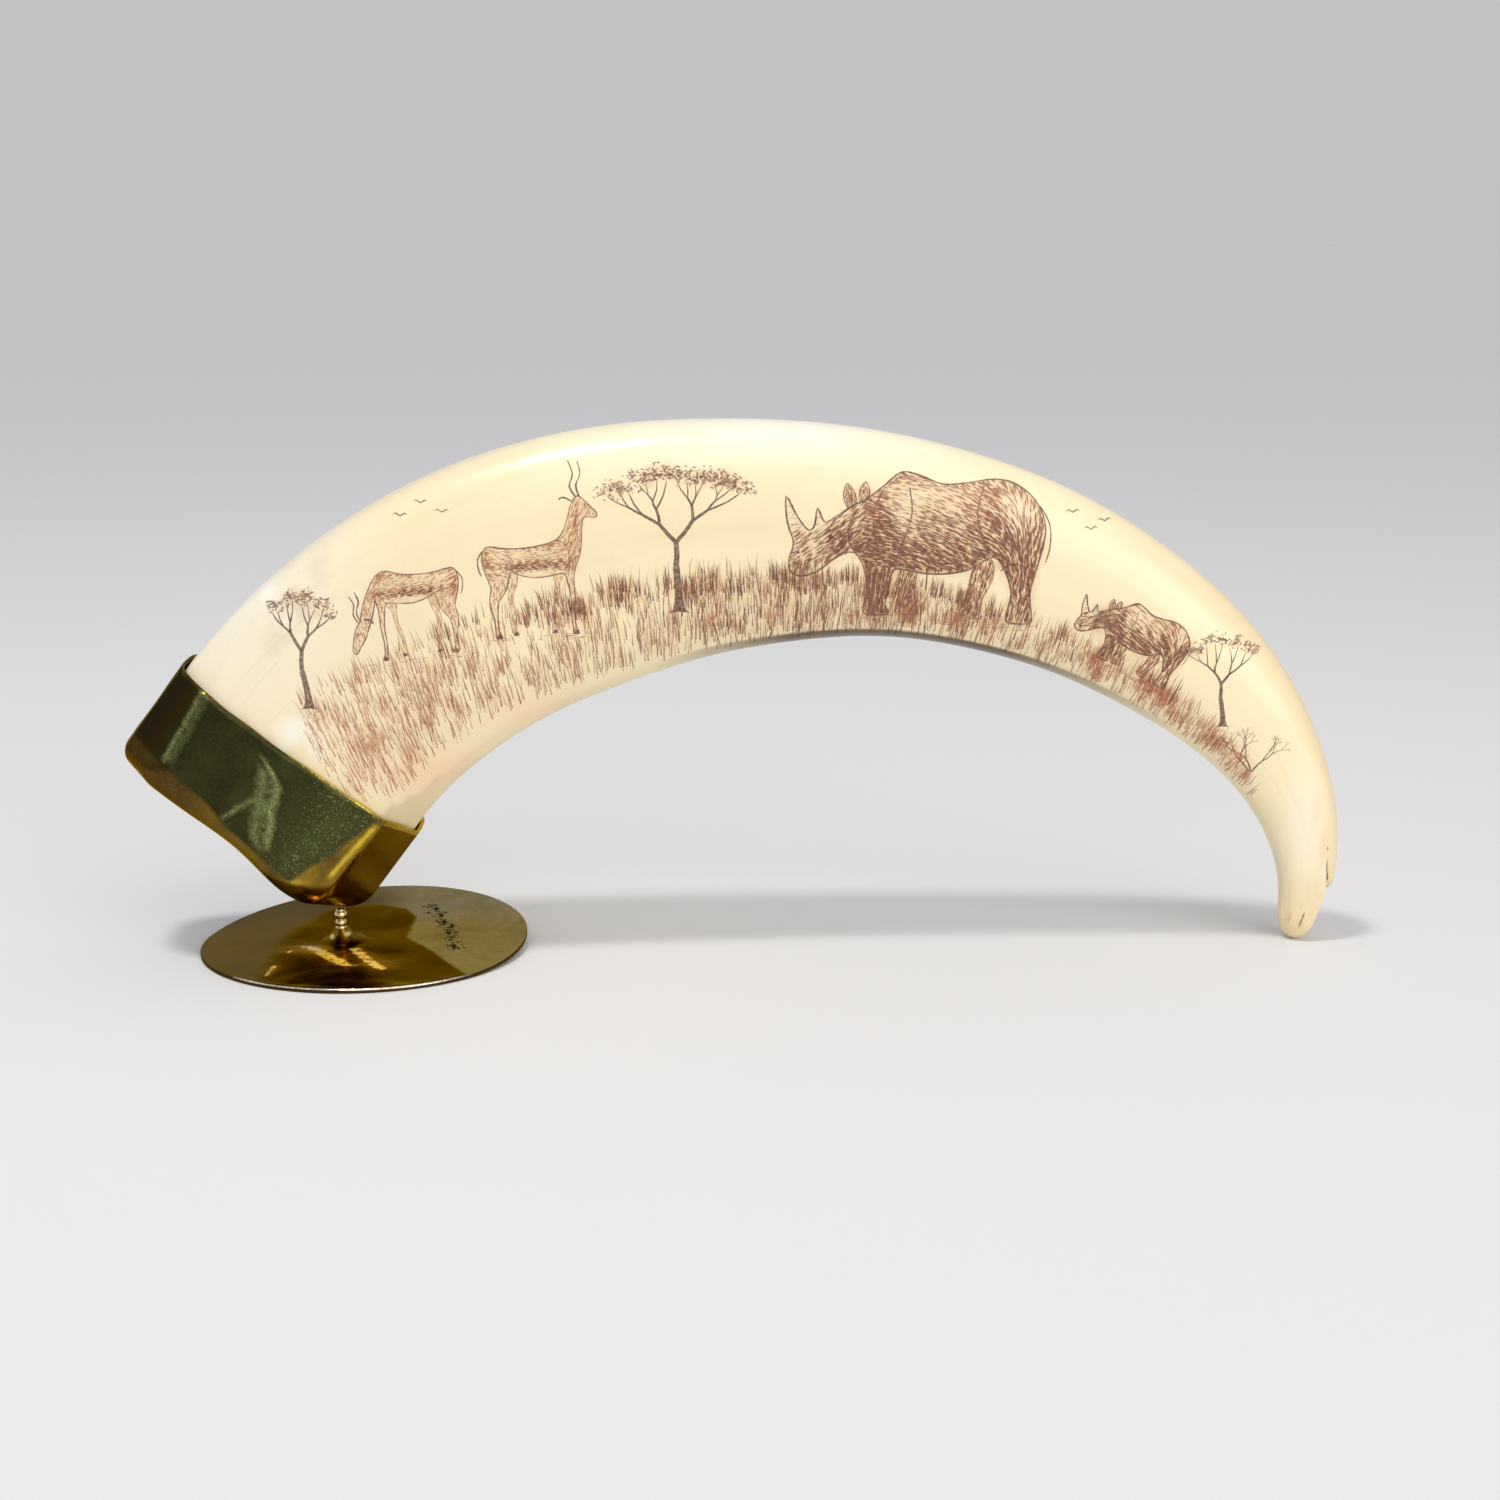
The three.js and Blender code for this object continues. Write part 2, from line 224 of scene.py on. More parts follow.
def skin_normals(distance, turn):
    """Outward normals of the surface, from its slopes to both sides of a point."""
    step, swing = 0.12, 0.006
    inner = np.minimum(distance, TUSK_LENGTH - step)
    lengthwise = skin(inner + step, turn) - skin(inner - step, turn)
    round_about = skin(inner, turn + swing) - skin(inner, turn - swing)
    normals = np.cross(lengthwise, round_about)
    heading = spine_at(distance)[2]
    tip = np.stack([np.cos(heading), 0 * heading, np.sin(heading)], -1)
    normals = np.where((distance > TUSK_LENGTH - step)[:, None], tip, normals)
    return normals / np.linalg.norm(normals, axis=1)[:, None]


def on_skin(places):
    """Distances and turns of places in the picture plane, x and z in millimetres."""
    x, z, heading = SPINE
    found = []
    for part in np.array_split(places, max(len(places) // 4000, 1)):
        apart = (part[:, :1] - x) ** 2 + (part[:, 1:] - z) ** 2
        k = apart.argmin(1)
        gone = (part[:, 0] - x[k]) * np.cos(heading[k]) + (part[:, 1] - z[k]) * np.sin(heading[k])
        distance = k * TUSK_LENGTH / SPINE_STEPS + gone
        sx, sz, way = spine_at(distance)
        across = (part[:, 1] - sz) * np.cos(way) - (part[:, 0] - sx) * np.sin(way)
        half_width = along(HALF_WIDTHS, distance / TUSK_LENGTH)
        found.append(np.stack([distance, across / half_width], 1))
    return np.concatenate(found)


def on_tusk(distance, across):
    """A place in the picture, from a distance along the tusk and a share of its half width."""
    x, z, heading = spine_at(distance)
    rise = across * along(HALF_WIDTHS, distance / TUSK_LENGTH)
    return float(x - rise * np.sin(heading)), float(z + rise * np.cos(heading))


# The engraving, in millimetres of the picture plane: x to the right and z up. Each stroke is a
# polygon with how dark its ink is and how rusty.
STROKES = []
# The shapes that ink has been wiped over, each with a measure of how dark it is at a place.
WASHES = []


def line(points, widths, tone, rust=0.0):
    """One cut line through points, with a width at each of them. A width of 0 gives a sharp end."""
    left, right = [], []
    last = len(points) - 1
    for k, (x, z) in enumerate(points):
        (x0, z0), (x1, z1) = points[max(k - 1, 0)], points[min(k + 1, last)]
        size = hypot(x1 - x0, z1 - z0) or 1
        half = widths[k] / 2
        side = (-(z1 - z0) / size * half, (x1 - x0) / size * half)
        left.append((x + side[0], z + side[1]))
        if half:
            right.append((x - side[0], z - side[1]))
    STROKES.append((right + left[::-1], tone, rust))


def smooth(points, steps, closed=False):
    """More points on a smooth curve through a few."""
    count = len(points)
    result = []
    for k in range(count if closed else count - 1):
        near = range(k - 1, k + 3)
        near = [points[i % count] if closed else points[min(max(i, 0), count - 1)] for i in near]
        for i in range(steps):
            t = i / steps
            result.append(tuple(
                b + t * ((c - a) + t * ((2 * a - 5 * b + 4 * c - d) + t * (3 * b - a - 3 * c + d))) / 2
                for a, b, c, d in zip(*near)))
    if not closed:
        result.append(tuple(points[-1]))
    return result


def drawn(points, width, tone, rust=0.0, run=4, closed=False):
    """A long line, in runs that swell and thin as a hand cuts them."""
    if closed:
        points = points + points[:1]
    for start in range(0, len(points) - 1, run):
        piece = points[start:start + run + 1]
        swell = width * uniform(0.8, 1.25)
        widths = [swell * 0.7] + [swell] * (len(piece) - 2) + [swell * 0.7]
        line(piece, widths, tone * uniform(0.88, 1.0), rust)


def inside(shape, x, z):
    """Whether a place lies inside a closed shape, for one place or for arrays of them."""
    found = False
    x0, z0 = shape[-1]
    for x1, z1 in shape:
        if z0 != z1:
            found = found ^ (((z1 > z) != (z0 > z)) & (x < (x0 - x1) * (z - z1) / (z0 - z1) + x1))
        x0, z0 = x1, z1
    return found


def shaded(base, spots, x, y):
    """A base with soft spots over it. Each has its strength, its middle and its reach."""
    for strength, middle_x, middle_y, reach_x, reach_y in spots:
        base += strength * exp(-((x - middle_x) / reach_x) ** 2 - ((y - middle_y) / reach_y) ** 2)
    return base


class Figure:
    """Where a figure with its own units stands in the picture."""

    def __init__(self, at, scale, turn=0.0, mirrored=False):
        self.at = at
        self.scale = scale
        self.turn = turn
        self.way = -1 if mirrored else 1

    def put(self, points, steps=3, closed=False):
        """The figure's points in the picture, on a smooth curve."""
        if steps > 1:
            points = smooth(points, steps, closed)
        c, s = cos(self.turn) * self.scale, sin(self.turn) * self.scale
        left, low = self.at
        return [(left + self.way * x * c - y * s, low + self.way * x * s + y * c) for x, y in points]

    def own(self, x, z):
        """A place of the picture in the figure's units."""
        dx, dz = (x - self.at[0]) / self.scale, (z - self.at[1]) / self.scale
        c, s = cos(self.turn), sin(self.turn)
        return self.way * (dx * c + dz * s), dz * c - dx * s

    def draw(self, points, width, tone=1.0, rust=0.0, steps=3, closed=False):
        drawn(self.put(points, steps, closed), width, tone, rust, closed=closed)

    def mark(self, points):
        """A small solid patch of ink."""
        STROKES.append((self.put(points, 1), 1.0, 0.0))

    def hatch(self, points, darkness, heading, spacing, length, width, rust, steps=2):
        """Fills a closed shape with short cuts. Darkness, heading and rust depend on the place."""
        shape = self.put(points, steps, True)
        WASHES.append((shape, lambda x, z: darkness(*self.own(x, z))))
        low_x, low_z = min(x for x, _ in shape), min(z for _, z in shape)
        rows = int((max(z for _, z in shape) - low_z) / spacing) + 1
        columns = int((max(x for x, _ in shape) - low_x) / (length * 0.75)) + 1
        for cell in range(rows * columns):
            row, column = divmod(cell, columns)
            x = low_x + (column + random()) * length * 0.75
            z = low_z + (row + random()) * spacing
            dark = darkness(*self.own(x, z))
            if random() > dark * 1.15 or not inside(shape, x, z):
                continue
            angle = heading(*self.own(x, z))
            angle = self.turn + (angle if self.way > 0 else pi - angle) + uniform(-0.12, 0.12)
            reach = length * uniform(0.6, 1.1) / 2
            c, s = cos(angle), sin(angle)
            ends = []
            for way in (-1, 1):
                far = reach
                while far > 0.1 and not inside(shape, x + way * far * c, z + way * far * s):
                    far *= 0.6
                ends.append((x + way * far * c, z + way * far * s))
            wide = width * (0.6 + 0.7 * dark) * uniform(0.8, 1.2)
            middle = ((ends[0][0] + ends[1][0]) / 2, (ends[0][1] + ends[1][1]) / 2)
            line([ends[0], middle, ends[1]], [0, wide, 0], 0.55 + 0.45 * dark, rust(*self.own(x, z)))


RHINO_BODY = [
    (4, 19), (5.2, 24.5), (2.4, 32), (1.4, 41), (5.6, 34.5), (10, 29.6), (12.2, 31.4), (12.8, 37.5),
    (15.6, 32.8), (19.5, 34.8), (25, 39), (31, 42.6), (36, 47), (42, 52), (49, 51), (57, 48.6),
    (66, 49.6), (76, 51.4),
    (84, 50), (91, 45), (95, 37), (94.6, 28), (92.6, 19), (91.4, 11), (92.8, 3), (92, 0.3), (84.5, 0.3),
    (83.8, 4), (84.6, 11), (82, 18.5), (77, 24), (68, 18.6), (56, 16.4), (46, 17.4), (41.4, 17), (40.4, 10),
    (39.6, 4.4), (41, 0.6), (32.8, 0.3), (32.2, 4), (32.6, 10), (31, 17), (27, 22.6), (21, 20.6), (14.5, 15),
    (8.6, 12.8), (4.6, 14.6),
]
RHINO_FAR_LEGS = (
    [(44, 18), (50, 17.4), (49.6, 10), (51.6, 3), (51.4, 1.2), (44.4, 1.2), (43.6, 4), (44.2, 10)],
    [(70, 19.6), (76.6, 23), (77.6, 16), (74.6, 9), (74.4, 3), (74.8, 1.2), (67.6, 1.2), (67, 4.6), (69, 11)],
)
RHINO_EARS = (
    [(23.4, 38.4), (21.6, 43), (22.8, 47), (25.8, 43.6), (26.4, 39.6)],
    [(27.6, 40.6), (27.4, 45), (29.4, 48), (31, 44.6), (30.4, 42)],
)
RHINO_FOLDS = (
    [(36, 46), (33, 38), (33.6, 30), (36, 22)], [(45, 47), (46.6, 38), (44.4, 28), (41, 18)],
    [(72, 49), (70, 40), (72.6, 30), (77, 24)], [(27, 38), (24.6, 32), (25, 26), (28, 22)],
    [(80, 19), (84, 22), (89, 21)], [(32, 14.5), (36, 15.6), (40.6, 14.4)],
    [(5.4, 17.4), (9.6, 17.2), (12, 19.4)],
    [(92.8, 43), (96.6, 37), (97.2, 29), (96, 23)], [(20, 27.6), (23, 25), (24, 21.6)],
    [(50, 22), (60, 20.4), (68, 22.6)], [(11.6, 26.4), (15.4, 27.8), (18, 30.4)],
)
RHINO_SHADES = (
    (0.5, 60, 20, 26, 7), (0.45, 37, 33, 5, 12), (0.5, 78, 30, 5, 12), (0.5, 24, 25, 7, 5),
    (0.35, 90, 20, 5, 16), (0.35, 36, 10, 5, 8), (-0.42, 50, 44, 14, 5), (-0.45, 84, 42, 7, 6),
    (-0.35, 42, 38, 5, 7), (-0.3, 14, 25, 5, 5),
)
RHINO_RUST = ((0.5, 60, 44, 30, 6),)


def rhino(at, scale, turn, fine=1.0):
    """A rhinoceros with its head low, in hundredths of its length."""
    figure = Figure(at, scale, turn)

    def darkness(x, y):
        if x < 16 and y > 29:
            return 0.12
        return min(max(shaded(0.7, RHINO_SHADES, x, y), 0.0), 1.0)

    def heading(x, y):
        if y < 18:
            return radians(84)
        if x < 30:
            return radians(38)
        return radians(-14 + 0.5 * (50 - x) - 62 * max(0.0, min(1.0, (x - 76) / 14)))

    def rust(x, y):
        return shaded(0.25, RHINO_RUST, x, y)

    for leg in RHINO_FAR_LEGS:
        figure.hatch(leg, lambda x, y: 0.95, lambda x, y: 1.4, 0.2 / fine, 1.5, 0.16, rust)
        figure.draw(leg, 0.15, 0.95, 0.1, 2, True)
    figure.hatch(RHINO_BODY, darkness, heading, 0.165 / fine, 1.75, 0.235 / fine, rust, 3)
    figure.draw(RHINO_BODY, 0.25 / fine, closed=True)
    for fold in RHINO_FOLDS:
        figure.draw(fold, 0.2 * min(1, scale * 2.6))
    for ear in RHINO_EARS:
        figure.hatch(ear, lambda x, y: 0.9, lambda x, y: 1.4, 0.16, 0.7, 0.14, rust, 1)
        figure.draw(ear, 0.14, steps=2, closed=True)
    figure.mark([(17.2, 27.2), (18.4, 26.6), (19.8, 27.4), (18.4, 28.4)])
    figure.mark([(6.2, 21.2), (7.6, 20.8), (7.4, 22)])
    for ring in range(4):
        y = 31 + 2.2 * ring
        figure.draw([(3.4 - 0.4 * ring, y), (7.6 - 1.1 * ring, y + 0.4)], 0.09, 0.8, steps=1)


GAZELLE_BACK = [(8, 76.4), (18, 74.6), (30, 73.6), (44, 74.2), (56, 76.4), (65, 79.6)]
GAZELLE_LEGS = [
    (78.6, 56), (76.6, 46), (76.8, 30), (75.6, 16), (76.4, 5), (78.6, 0), (74, 0), (73.6, 6), (73, 17),
    (73.4, 30), (71, 44), (68.6, 51), (58, 49.6), (44, 48.6), (31, 52), (25, 54.6), (22.4, 46), (19.6, 38),
    (13.6, 30), (12.2, 16), (12.6, 5), (15, 0), (10, 0), (9.6, 6), (8.8, 18), (6, 31), (8, 42), (3.6, 55),
    (1.8, 66), (3.6, 73.4),
]
HEAD_UP = [
    (71, 88), (75, 99), (78.4, 109), (83.4, 114.4), (88.6, 110.6), (94, 104.4), (98.6, 99.6), (97.4, 96),
    (91.4, 96.6), (87, 95.4), (85.6, 86), (84.4, 75), (82.6, 65),
]
HEAD_DOWN = [
    (75, 77), (84, 64), (91, 49), (94.4, 37.6), (99.6, 30.4), (103, 20), (104.6, 11.4), (101.4, 8.4),
    (97.4, 14), (92.4, 20.4), (88.4, 28), (83.4, 39), (79.6, 50), (78.4, 55),
]
GAZELLE_FAR_LEGS = (
    [(70, 51), (65, 44), (63.6, 31), (59.6, 18), (59, 7), (60.8, 1.6), (56.6, 1.6), (56.4, 7), (57, 18),
     (60.4, 32), (60.6, 44), (60, 50)],
    [(30, 53), (29.6, 45), (26.6, 37), (25.4, 30), (27.4, 18), (26.8, 7), (28.8, 1.6), (24.4, 1.6), (24, 7),
     (24, 18), (21.4, 31), (22.4, 40), (22, 50)],
)
GAZELLE_HOOVES = (
    [(74, 0), (78.8, 0), (77.4, 3), (75, 3.2)], [(10, 0), (15.2, 0), (13.6, 3), (11.2, 3.2)],
    [(56.6, 1.6), (60.8, 1.6), (59.8, 4.2), (57.6, 4.4)],
    [(24.4, 1.6), (28.8, 1.6), (27.8, 4.2), (25.4, 4.4)],
)
GAZELLE_FOLDS = (
    [(66, 79), (71, 74), (73.4, 65), (72, 56), (68.6, 50)], [(22, 70), (27, 64), (27.6, 58), (25, 54)],
    [(31, 52), (29, 58), (24, 62)], [(13.6, 30), (11, 33), (8.6, 31)],
)
HORNS_UP = (
    ([(82.4, 113), (77.4, 122), (80.4, 132), (76.8, 143)], 0.24),
    ([(84.8, 114), (82.6, 123), (86.6, 132), (84.6, 142)], 0.24),
    ([(78.6, 110), (72, 113.4), (67.8, 112)], 0.3), ([(88.8, 107.4), (90, 106.6)], 0.24),
)
HORNS_DOWN = (
    ([(93.6, 37), (96.6, 46), (93.4, 55), (96, 64)], 0.24),
    ([(95.4, 35.6), (99.6, 44), (98, 53), (101.6, 61)], 0.24),
    ([(90.8, 39), (85, 37.6), (82.6, 34)], 0.26), ([(97.6, 27), (97.2, 25.4)], 0.24),
)
GAZELLE_SHADES = (
    (0.8, 46, 58.6, 26, 3.4), (-0.6, 48, 51.6, 22, 3.2), (0.4, 5, 62, 5, 13), (0.3, 76, 62, 4, 10),
    (-0.3, 32, 69, 18, 4), (0.3, 52, 75, 22, 2.6), (-0.35, 8, 20, 14, 16), (0.3, 80, 92, 4, 14),
    (-0.35, 76, 20, 8, 18),
)
GAZELLE_RUST = ((-0.6, 46, 57, 40, 5),)


def gazelle(at, scale, turn, mirrored=False, grazing=False):
    """A gazelle in hundredths of its length, with its head up or down in the grass."""
    figure = Figure(at, scale, turn, mirrored)
    outline = GAZELLE_BACK + (HEAD_DOWN if grazing else HEAD_UP) + GAZELLE_LEGS

    def darkness(x, y):
        return min(max(shaded(0.55, GAZELLE_SHADES, x, y), 0.05), 1.0)

    def heading(x, y):
        if y < 48:
            return radians(86)
        if x > (76 if grazing else 70):
            return radians(-60 if grazing else 62)
        return radians(-6 + 0.2 * (x - 40))

    def rust(x, y):
        return shaded(0.75, GAZELLE_RUST, x, y)

    for leg in GAZELLE_FAR_LEGS:
        figure.hatch(leg, lambda x, y: 0.55, lambda x, y: 1.5, 0.2, 1.1, 0.11, rust)
        figure.draw(leg, 0.09, 0.85, 0.3, 2, True)
    figure.hatch(outline, darkness, heading, 0.16, 1.0, 0.15, rust)
    figure.draw(outline, 0.17, 1.0, 0.1, 2, True)
    for fold in GAZELLE_FOLDS:
        figure.draw(fold, 0.11, 0.85, 0.3)
    for hoof in GAZELLE_HOOVES:
        figure.mark(hoof)
    figure.draw([(3, 73), (-1.6, 66), (-1, 57), (1, 52)], 0.2)
    for points, width in HORNS_DOWN if grazing else HORNS_UP:
        figure.draw(points, width)


def limb(x, z, angle, length, wide, forks, tone):
    """A bare twig and the twigs that fork from it."""
    points = [(x, z)]
    bend = uniform(-0.24, 0.24)
    for _ in range(3):
        angle += bend * uniform(0.3, 1.4)
        x, z = points[-1]
        points.append((x + cos(angle) * length / 3, z + sin(angle) * length / 3))
    line(points, [wide, wide * 0.92, wide * 0.84, wide * 0.72 if forks else 0], tone)
    for side in (-1, 1) if forks else ():
        turn = angle + side * uniform(0.28, 0.58)
        turn += (pi / 2 - turn) * 0.15
        limb(*points[-1], turn, length * uniform(0.6, 0.85), wide * 0.7, forks - 1, tone)


def bush(x, z, tall, tone=0.95):
    """A bare little thorn bush that fans out from the ground."""
    for k in range(3):
        limb(x + 0.2 * (k - 1), z, pi / 2 - (k - 1) * 0.42, tall * 0.36, tall * 0.04, 4, tone)


def boughs(start, ends, wide, tone):
    """Boughs that fork again and again until each reaches one of the crown's ends."""
    x, z = start
    if len(ends) == 1:
        end = ends[0]
        bow = uniform(-0.08, 0.08) * (end[1] - z)
        middle = (x * 0.45 + end[0] * 0.55 + bow, z * 0.55 + end[1] * 0.45)
        line(smooth([start, middle, end], 2), [wide, wide * 0.85, wide * 0.7, wide * 0.55, 0], tone)
        return
    aim = (sum(x for x, _ in ends) / len(ends), sum(z for _, z in ends) / len(ends))
    share = uniform(0.3, 0.46)
    fork = (x + (aim[0] - x) * share * 1.15, z + (aim[1] - z) * share * 0.85)
    if wide > 0:
        middle = ((x + fork[0]) / 2 + uniform(-0.12, 0.12), (z + fork[1]) / 2)
        line([start, middle, fork], [wide, wide * 0.94, wide * 0.86], tone)
    cut = max(1, min(len(ends) - 1, round(len(ends) / 2 + uniform(-1, 1))))
    boughs(fork, ends[:cut], wide * 0.74, tone)
    boughs(fork, ends[cut:], wide * 0.74, tone)


def acacia(x, z, tall, broad, lean, ends, leaves, tone=0.95):
    """A flat-topped thorn tree: a forked trunk under layered pads of leaves."""
    fork = (x + lean * tall, z + tall * 0.3)
    trunk = tall * 0.045
    line(smooth([(x, z), (x + lean * tall * 0.3, z + tall * 0.15), fork], 2),
         [trunk * 2, trunk * 1.3, trunk * 1.05, trunk, trunk], tone)
    for way in (-1, 1):
        line([(x, z + trunk * 0.3), (x + way * trunk * 1.8, z - trunk * 0.2)], [trunk * 0.5, 0], tone)
    crown = z + tall * 0.9
    places = []
    for k in range(ends):
        place = 2 * k / (ends - 1) - 1
        drop = tall * 0.1 * abs(place) ** 1.6 + uniform(0, tall * 0.07)
        places.append((fork[0] + broad * 0.46 * place + uniform(-0.2, 0.2), crown - drop))
    boughs(fork, places, trunk * 0.82, tone)
    for _ in range(leaves):
        px, pz = choice(places)
        turn, out = uniform(0, 2 * pi), sqrt(random())
        px += broad * 0.1 * out * cos(turn)
        pz += max(tall * 0.055 * out * sin(turn), -tall * 0.02) + uniform(0, tall * 0.045)
        size = uniform(0.2, 0.44) * (0.72 + 0.28 * tall / 20)
        angle = gauss(0, 0.7)
        dx, dz = cos(angle) * size, sin(angle) * size
        line([(px - dx, pz - dz), (px, pz), (px + dx, pz + dz)], [0, size * uniform(0.5, 0.85), 0],
             tone * uniform(0.7, 1), uniform(0, 0.35))


def ground(left, right, count):
    """Short level cuts of bare ground and its shade under the feet of an animal."""
    for _ in range(count):
        share = random()
        x = left[0] + (right[0] - left[0]) * share
        z = left[1] + (right[1] - left[1]) * share + uniform(-0.7, 0.15)
        half = uniform(0.5, 1.2)
        rise = half * (right[1] - left[1]) / (right[0] - left[0])
        line([(x - half, z - rise), (x, z), (x + half, z + rise)], [0, 0.12, 0], uniform(0.5, 0.85), 0.4)


def bird(x, z, span=2.3):
    for side in (-1, 1):
        line([(x, z), (x + side * span * 0.28, z + span * 0.16), (x + side * span * 0.5, z + span * 0.05)],
             [0.16, 0.2, 0], 0.95)


# The grass: distance along the tusk, the band's lower and upper edge as shares of the half width,
# how crowded it is and how rusty.
BAND = np.array((
    (-0.4, -0.6, -0.35, 0.6, 1.0), (4, -0.74, 0.12, 0.85, 0.95), (7, -0.76, 0.24, 0.9, 0.9),
    (14, -0.76, 0.12, 0.85, 0.8), (28, -0.78, -0.04, 0.7, 0.65), (42, -0.84, -0.12, 0.66, 0.5),
    (55, -0.88, -0.2, 0.74, 0.45), (68, -0.93, -0.26, 1.0, 0.35), (82, -0.95, -0.34, 1.0, 0.3),
    (100, -0.95, -0.42, 0.95, 0.35), (118, -0.94, -0.46, 0.7, 0.6), (135, -0.94, -0.48, 0.7, 0.75),
    (150, -0.92, -0.5, 0.7, 0.85), (160, -0.92, -0.6, 0.66, 0.95), (167, -0.92, -0.84, 0.5, 1.0),
))
GRASS_LEAN = 0.5


def band_at(distance):
    """The grass band at a distance along the tusk, and how far its blades lean out with the arch there."""
    low, high, crowd, rusty = (float(np.interp(distance, BAND[:, 0], BAND[:, k])) for k in (1, 2, 3, 4))
    return low, high, crowd, rusty, -tan(GRASS_LEAN * float(spine_at(distance)[2]))


def blade(x, z, tall, lean, wide, tone, rust):
    """A blade of grass, cut upwards from its foot. One in three bends over at its tip."""
    upright = tall / hypot(1, lean)
    if random() < 0.66:
        line([(x, z), (x + lean * upright, z + upright)], [wide, 0], tone, rust)
        return
    bow = uniform(-0.14, 0.14)
    middle = (x + lean * upright * 0.5, z + upright * 0.6)
    line([(x, z), middle, (x + (lean + bow) * upright, z + upright)], [wide * 0.8, wide * 0.8, 0], tone, rust)


def tuft(distance, share, blades, spread, dark, rust):
    """Blades that grow close together."""
    low, high, _, _, lean = band_at(distance)
    x, z = on_tusk(distance, low + (high - low) * share)
    for _ in range(blades):
        away = gauss(0, spread)
        tall = uniform(2.0, 3.8) * (1 - 0.2 * abs(away) / spread)
        blade(x + away, z + uniform(-0.5, 0.5) - 0.1 * away * lean, tall, lean + away * 0.08,
              uniform(0.13, 0.21), dark * uniform(0.85, 1), rust)


def grass(count):
    """Blades from the inner edge up to the top of the band, crowded where the band is dark."""
    cut = 0
    while cut < count:
        distance = uniform(BAND[0, 0], BAND[-1, 0])
        low, high, crowd, rusty, lean = band_at(distance)
        share = random() ** 0.85
        room = (high - low) / 0.8
        if random() > crowd * room * (1.0 - 0.35 * share):
            continue
        x, z = on_tusk(distance, low + (high - low) * share)
        tall = uniform(1.5, 3.9) * (0.75 + 0.4 * min(room, 1)) * (1.08 - 0.3 * share)
        wide = uniform(0.1, 0.19) * (0.85 + 0.3 * crowd)
        rust = min(max(gauss(rusty, 0.22), 0), 1)
        tone = uniform(0.66, 1) * (1 - 0.14 * rust)
        blade(x, z, tall, gauss(lean + 0.02, 0.09), wide, tone, rust)
        cut += 1
    for _ in range(52):
        distance = triangular(12, 160, 76)
        tuft(distance, uniform(0.72, 0.98), 8, uniform(0.6, 1.3), 1.0, uniform(0, 0.25))
    for _ in range(44):
        distance = uniform(4, 160)
        tuft(distance, uniform(0.15, 0.7), 6, uniform(0.4, 0.8), 0.75, uniform(0.7, 1))


def crack(distance, across, length, wide, tone):
    """A fine crack along the grain of the tusk."""
    points = []
    for k in range(6):
        across += uniform(-0.012, 0.012)
        points.append(on_tusk(distance + length * k / 5, across))
    line(points, [0] + [wide * uniform(0.5, 1.2) for _ in range(4)] + [0], tone, 0.3)


# Fine cracks: distance along the tusk, share of the half width, length, width and how dark.
CRACKS = (
    (0.5, 0.52, 9, 0.07, 0.3), (1, 0.3, 12, 0.05, 0.25), (0.5, 0.66, 15, 0.06, 0.25),
    (2, 0.05, 7, 0.05, 0.3), (188.3, -0.02, 2.7, 0.26, 0.85), (187, -0.22, 1.3, 0.12, 0.35),
    (188.8, -0.6, 2, 0.16, 0.5), (184.6, 0.05, 2.2, 0.07, 0.25), (95, 0.86, 14, 0.04, 0.2),
    (150, 0.7, 10, 0.05, 0.2),
)
# Dirt in the split by the tip: distances along the tusk, widths, how dark and how rusty.
SPLIT_CUTS = (
    ((178.4, 178.9, 179.2), [0, 0.3, 0], 0.7, 0.2),
    (np.linspace(180.2, 184, 6), [0, 0.16, 0.24, 0.32, 0.44, 0.3], 0.95, 0.0),
)
BIRDS = ((47.6, 65.6), (50.2, 63.2), (52.4, 64.2), (-48.5, 65.6), (-45.6, 67.4), (-42.5, 66.2))


def engrave():
    """The whole picture: grassland with two gazelles, a rhinoceros and its calf, and thorn trees."""
    seed(11)
    for place in CRACKS:
        crack(*place)
    for distances, widths, tone, rust in SPLIT_CUTS:
        split = [on_tusk(distance, float(np.sin(groove_turn(distance)))) for distance in distances]
        line(split, widths, tone, rust)
    acacia(-61.9, 38.3, 18, 9.4, -0.05, 9, 200, 0.9)
    acacia(-9.0, 51.8, 22, 21, -0.02, 15, 480)
    gazelle((-38.8, 46.7), 0.158, 0.12, mirrored=True, grazing=True)
    ground((-54, 44.6), (-38, 46.5), 12)
    gazelle((-36.7, 48.2), 0.172, 0.05)
    ground((-36.5, 48), (-22.5, 48.8), 12)
    rhino((4.5, 52.0), 0.40, radians(-4))
    ground((14, 51), (43, 49), 40)
    rhino((46.0, 47.2), 0.185, radians(-26), fine=1.15)
    ground((50, 45), (64, 38.2), 24)
    acacia(70.4, 34.0, 14.5, 11, -0.04, 9, 190)
    bush(75.0, 26.9, 6.4)
    for place in BIRDS:
        bird(*place)
    grass(2900)


engrave()


def area(places):
    x, y = places[:, 0], places[:, 1]
    return 0.5 * float(np.sum(x * np.roll(y, -1) - np.roll(x, -1) * y))


# The tusk is meshed on a flat map of distance and turn, on which a radian is this long.
TURN_SCALE = 13.0
# Strokes that reach past this share of the half width are left out, and so are specks of this area.
EDGE_SHARE = 0.985
SMALLEST_CUT = 1e-4


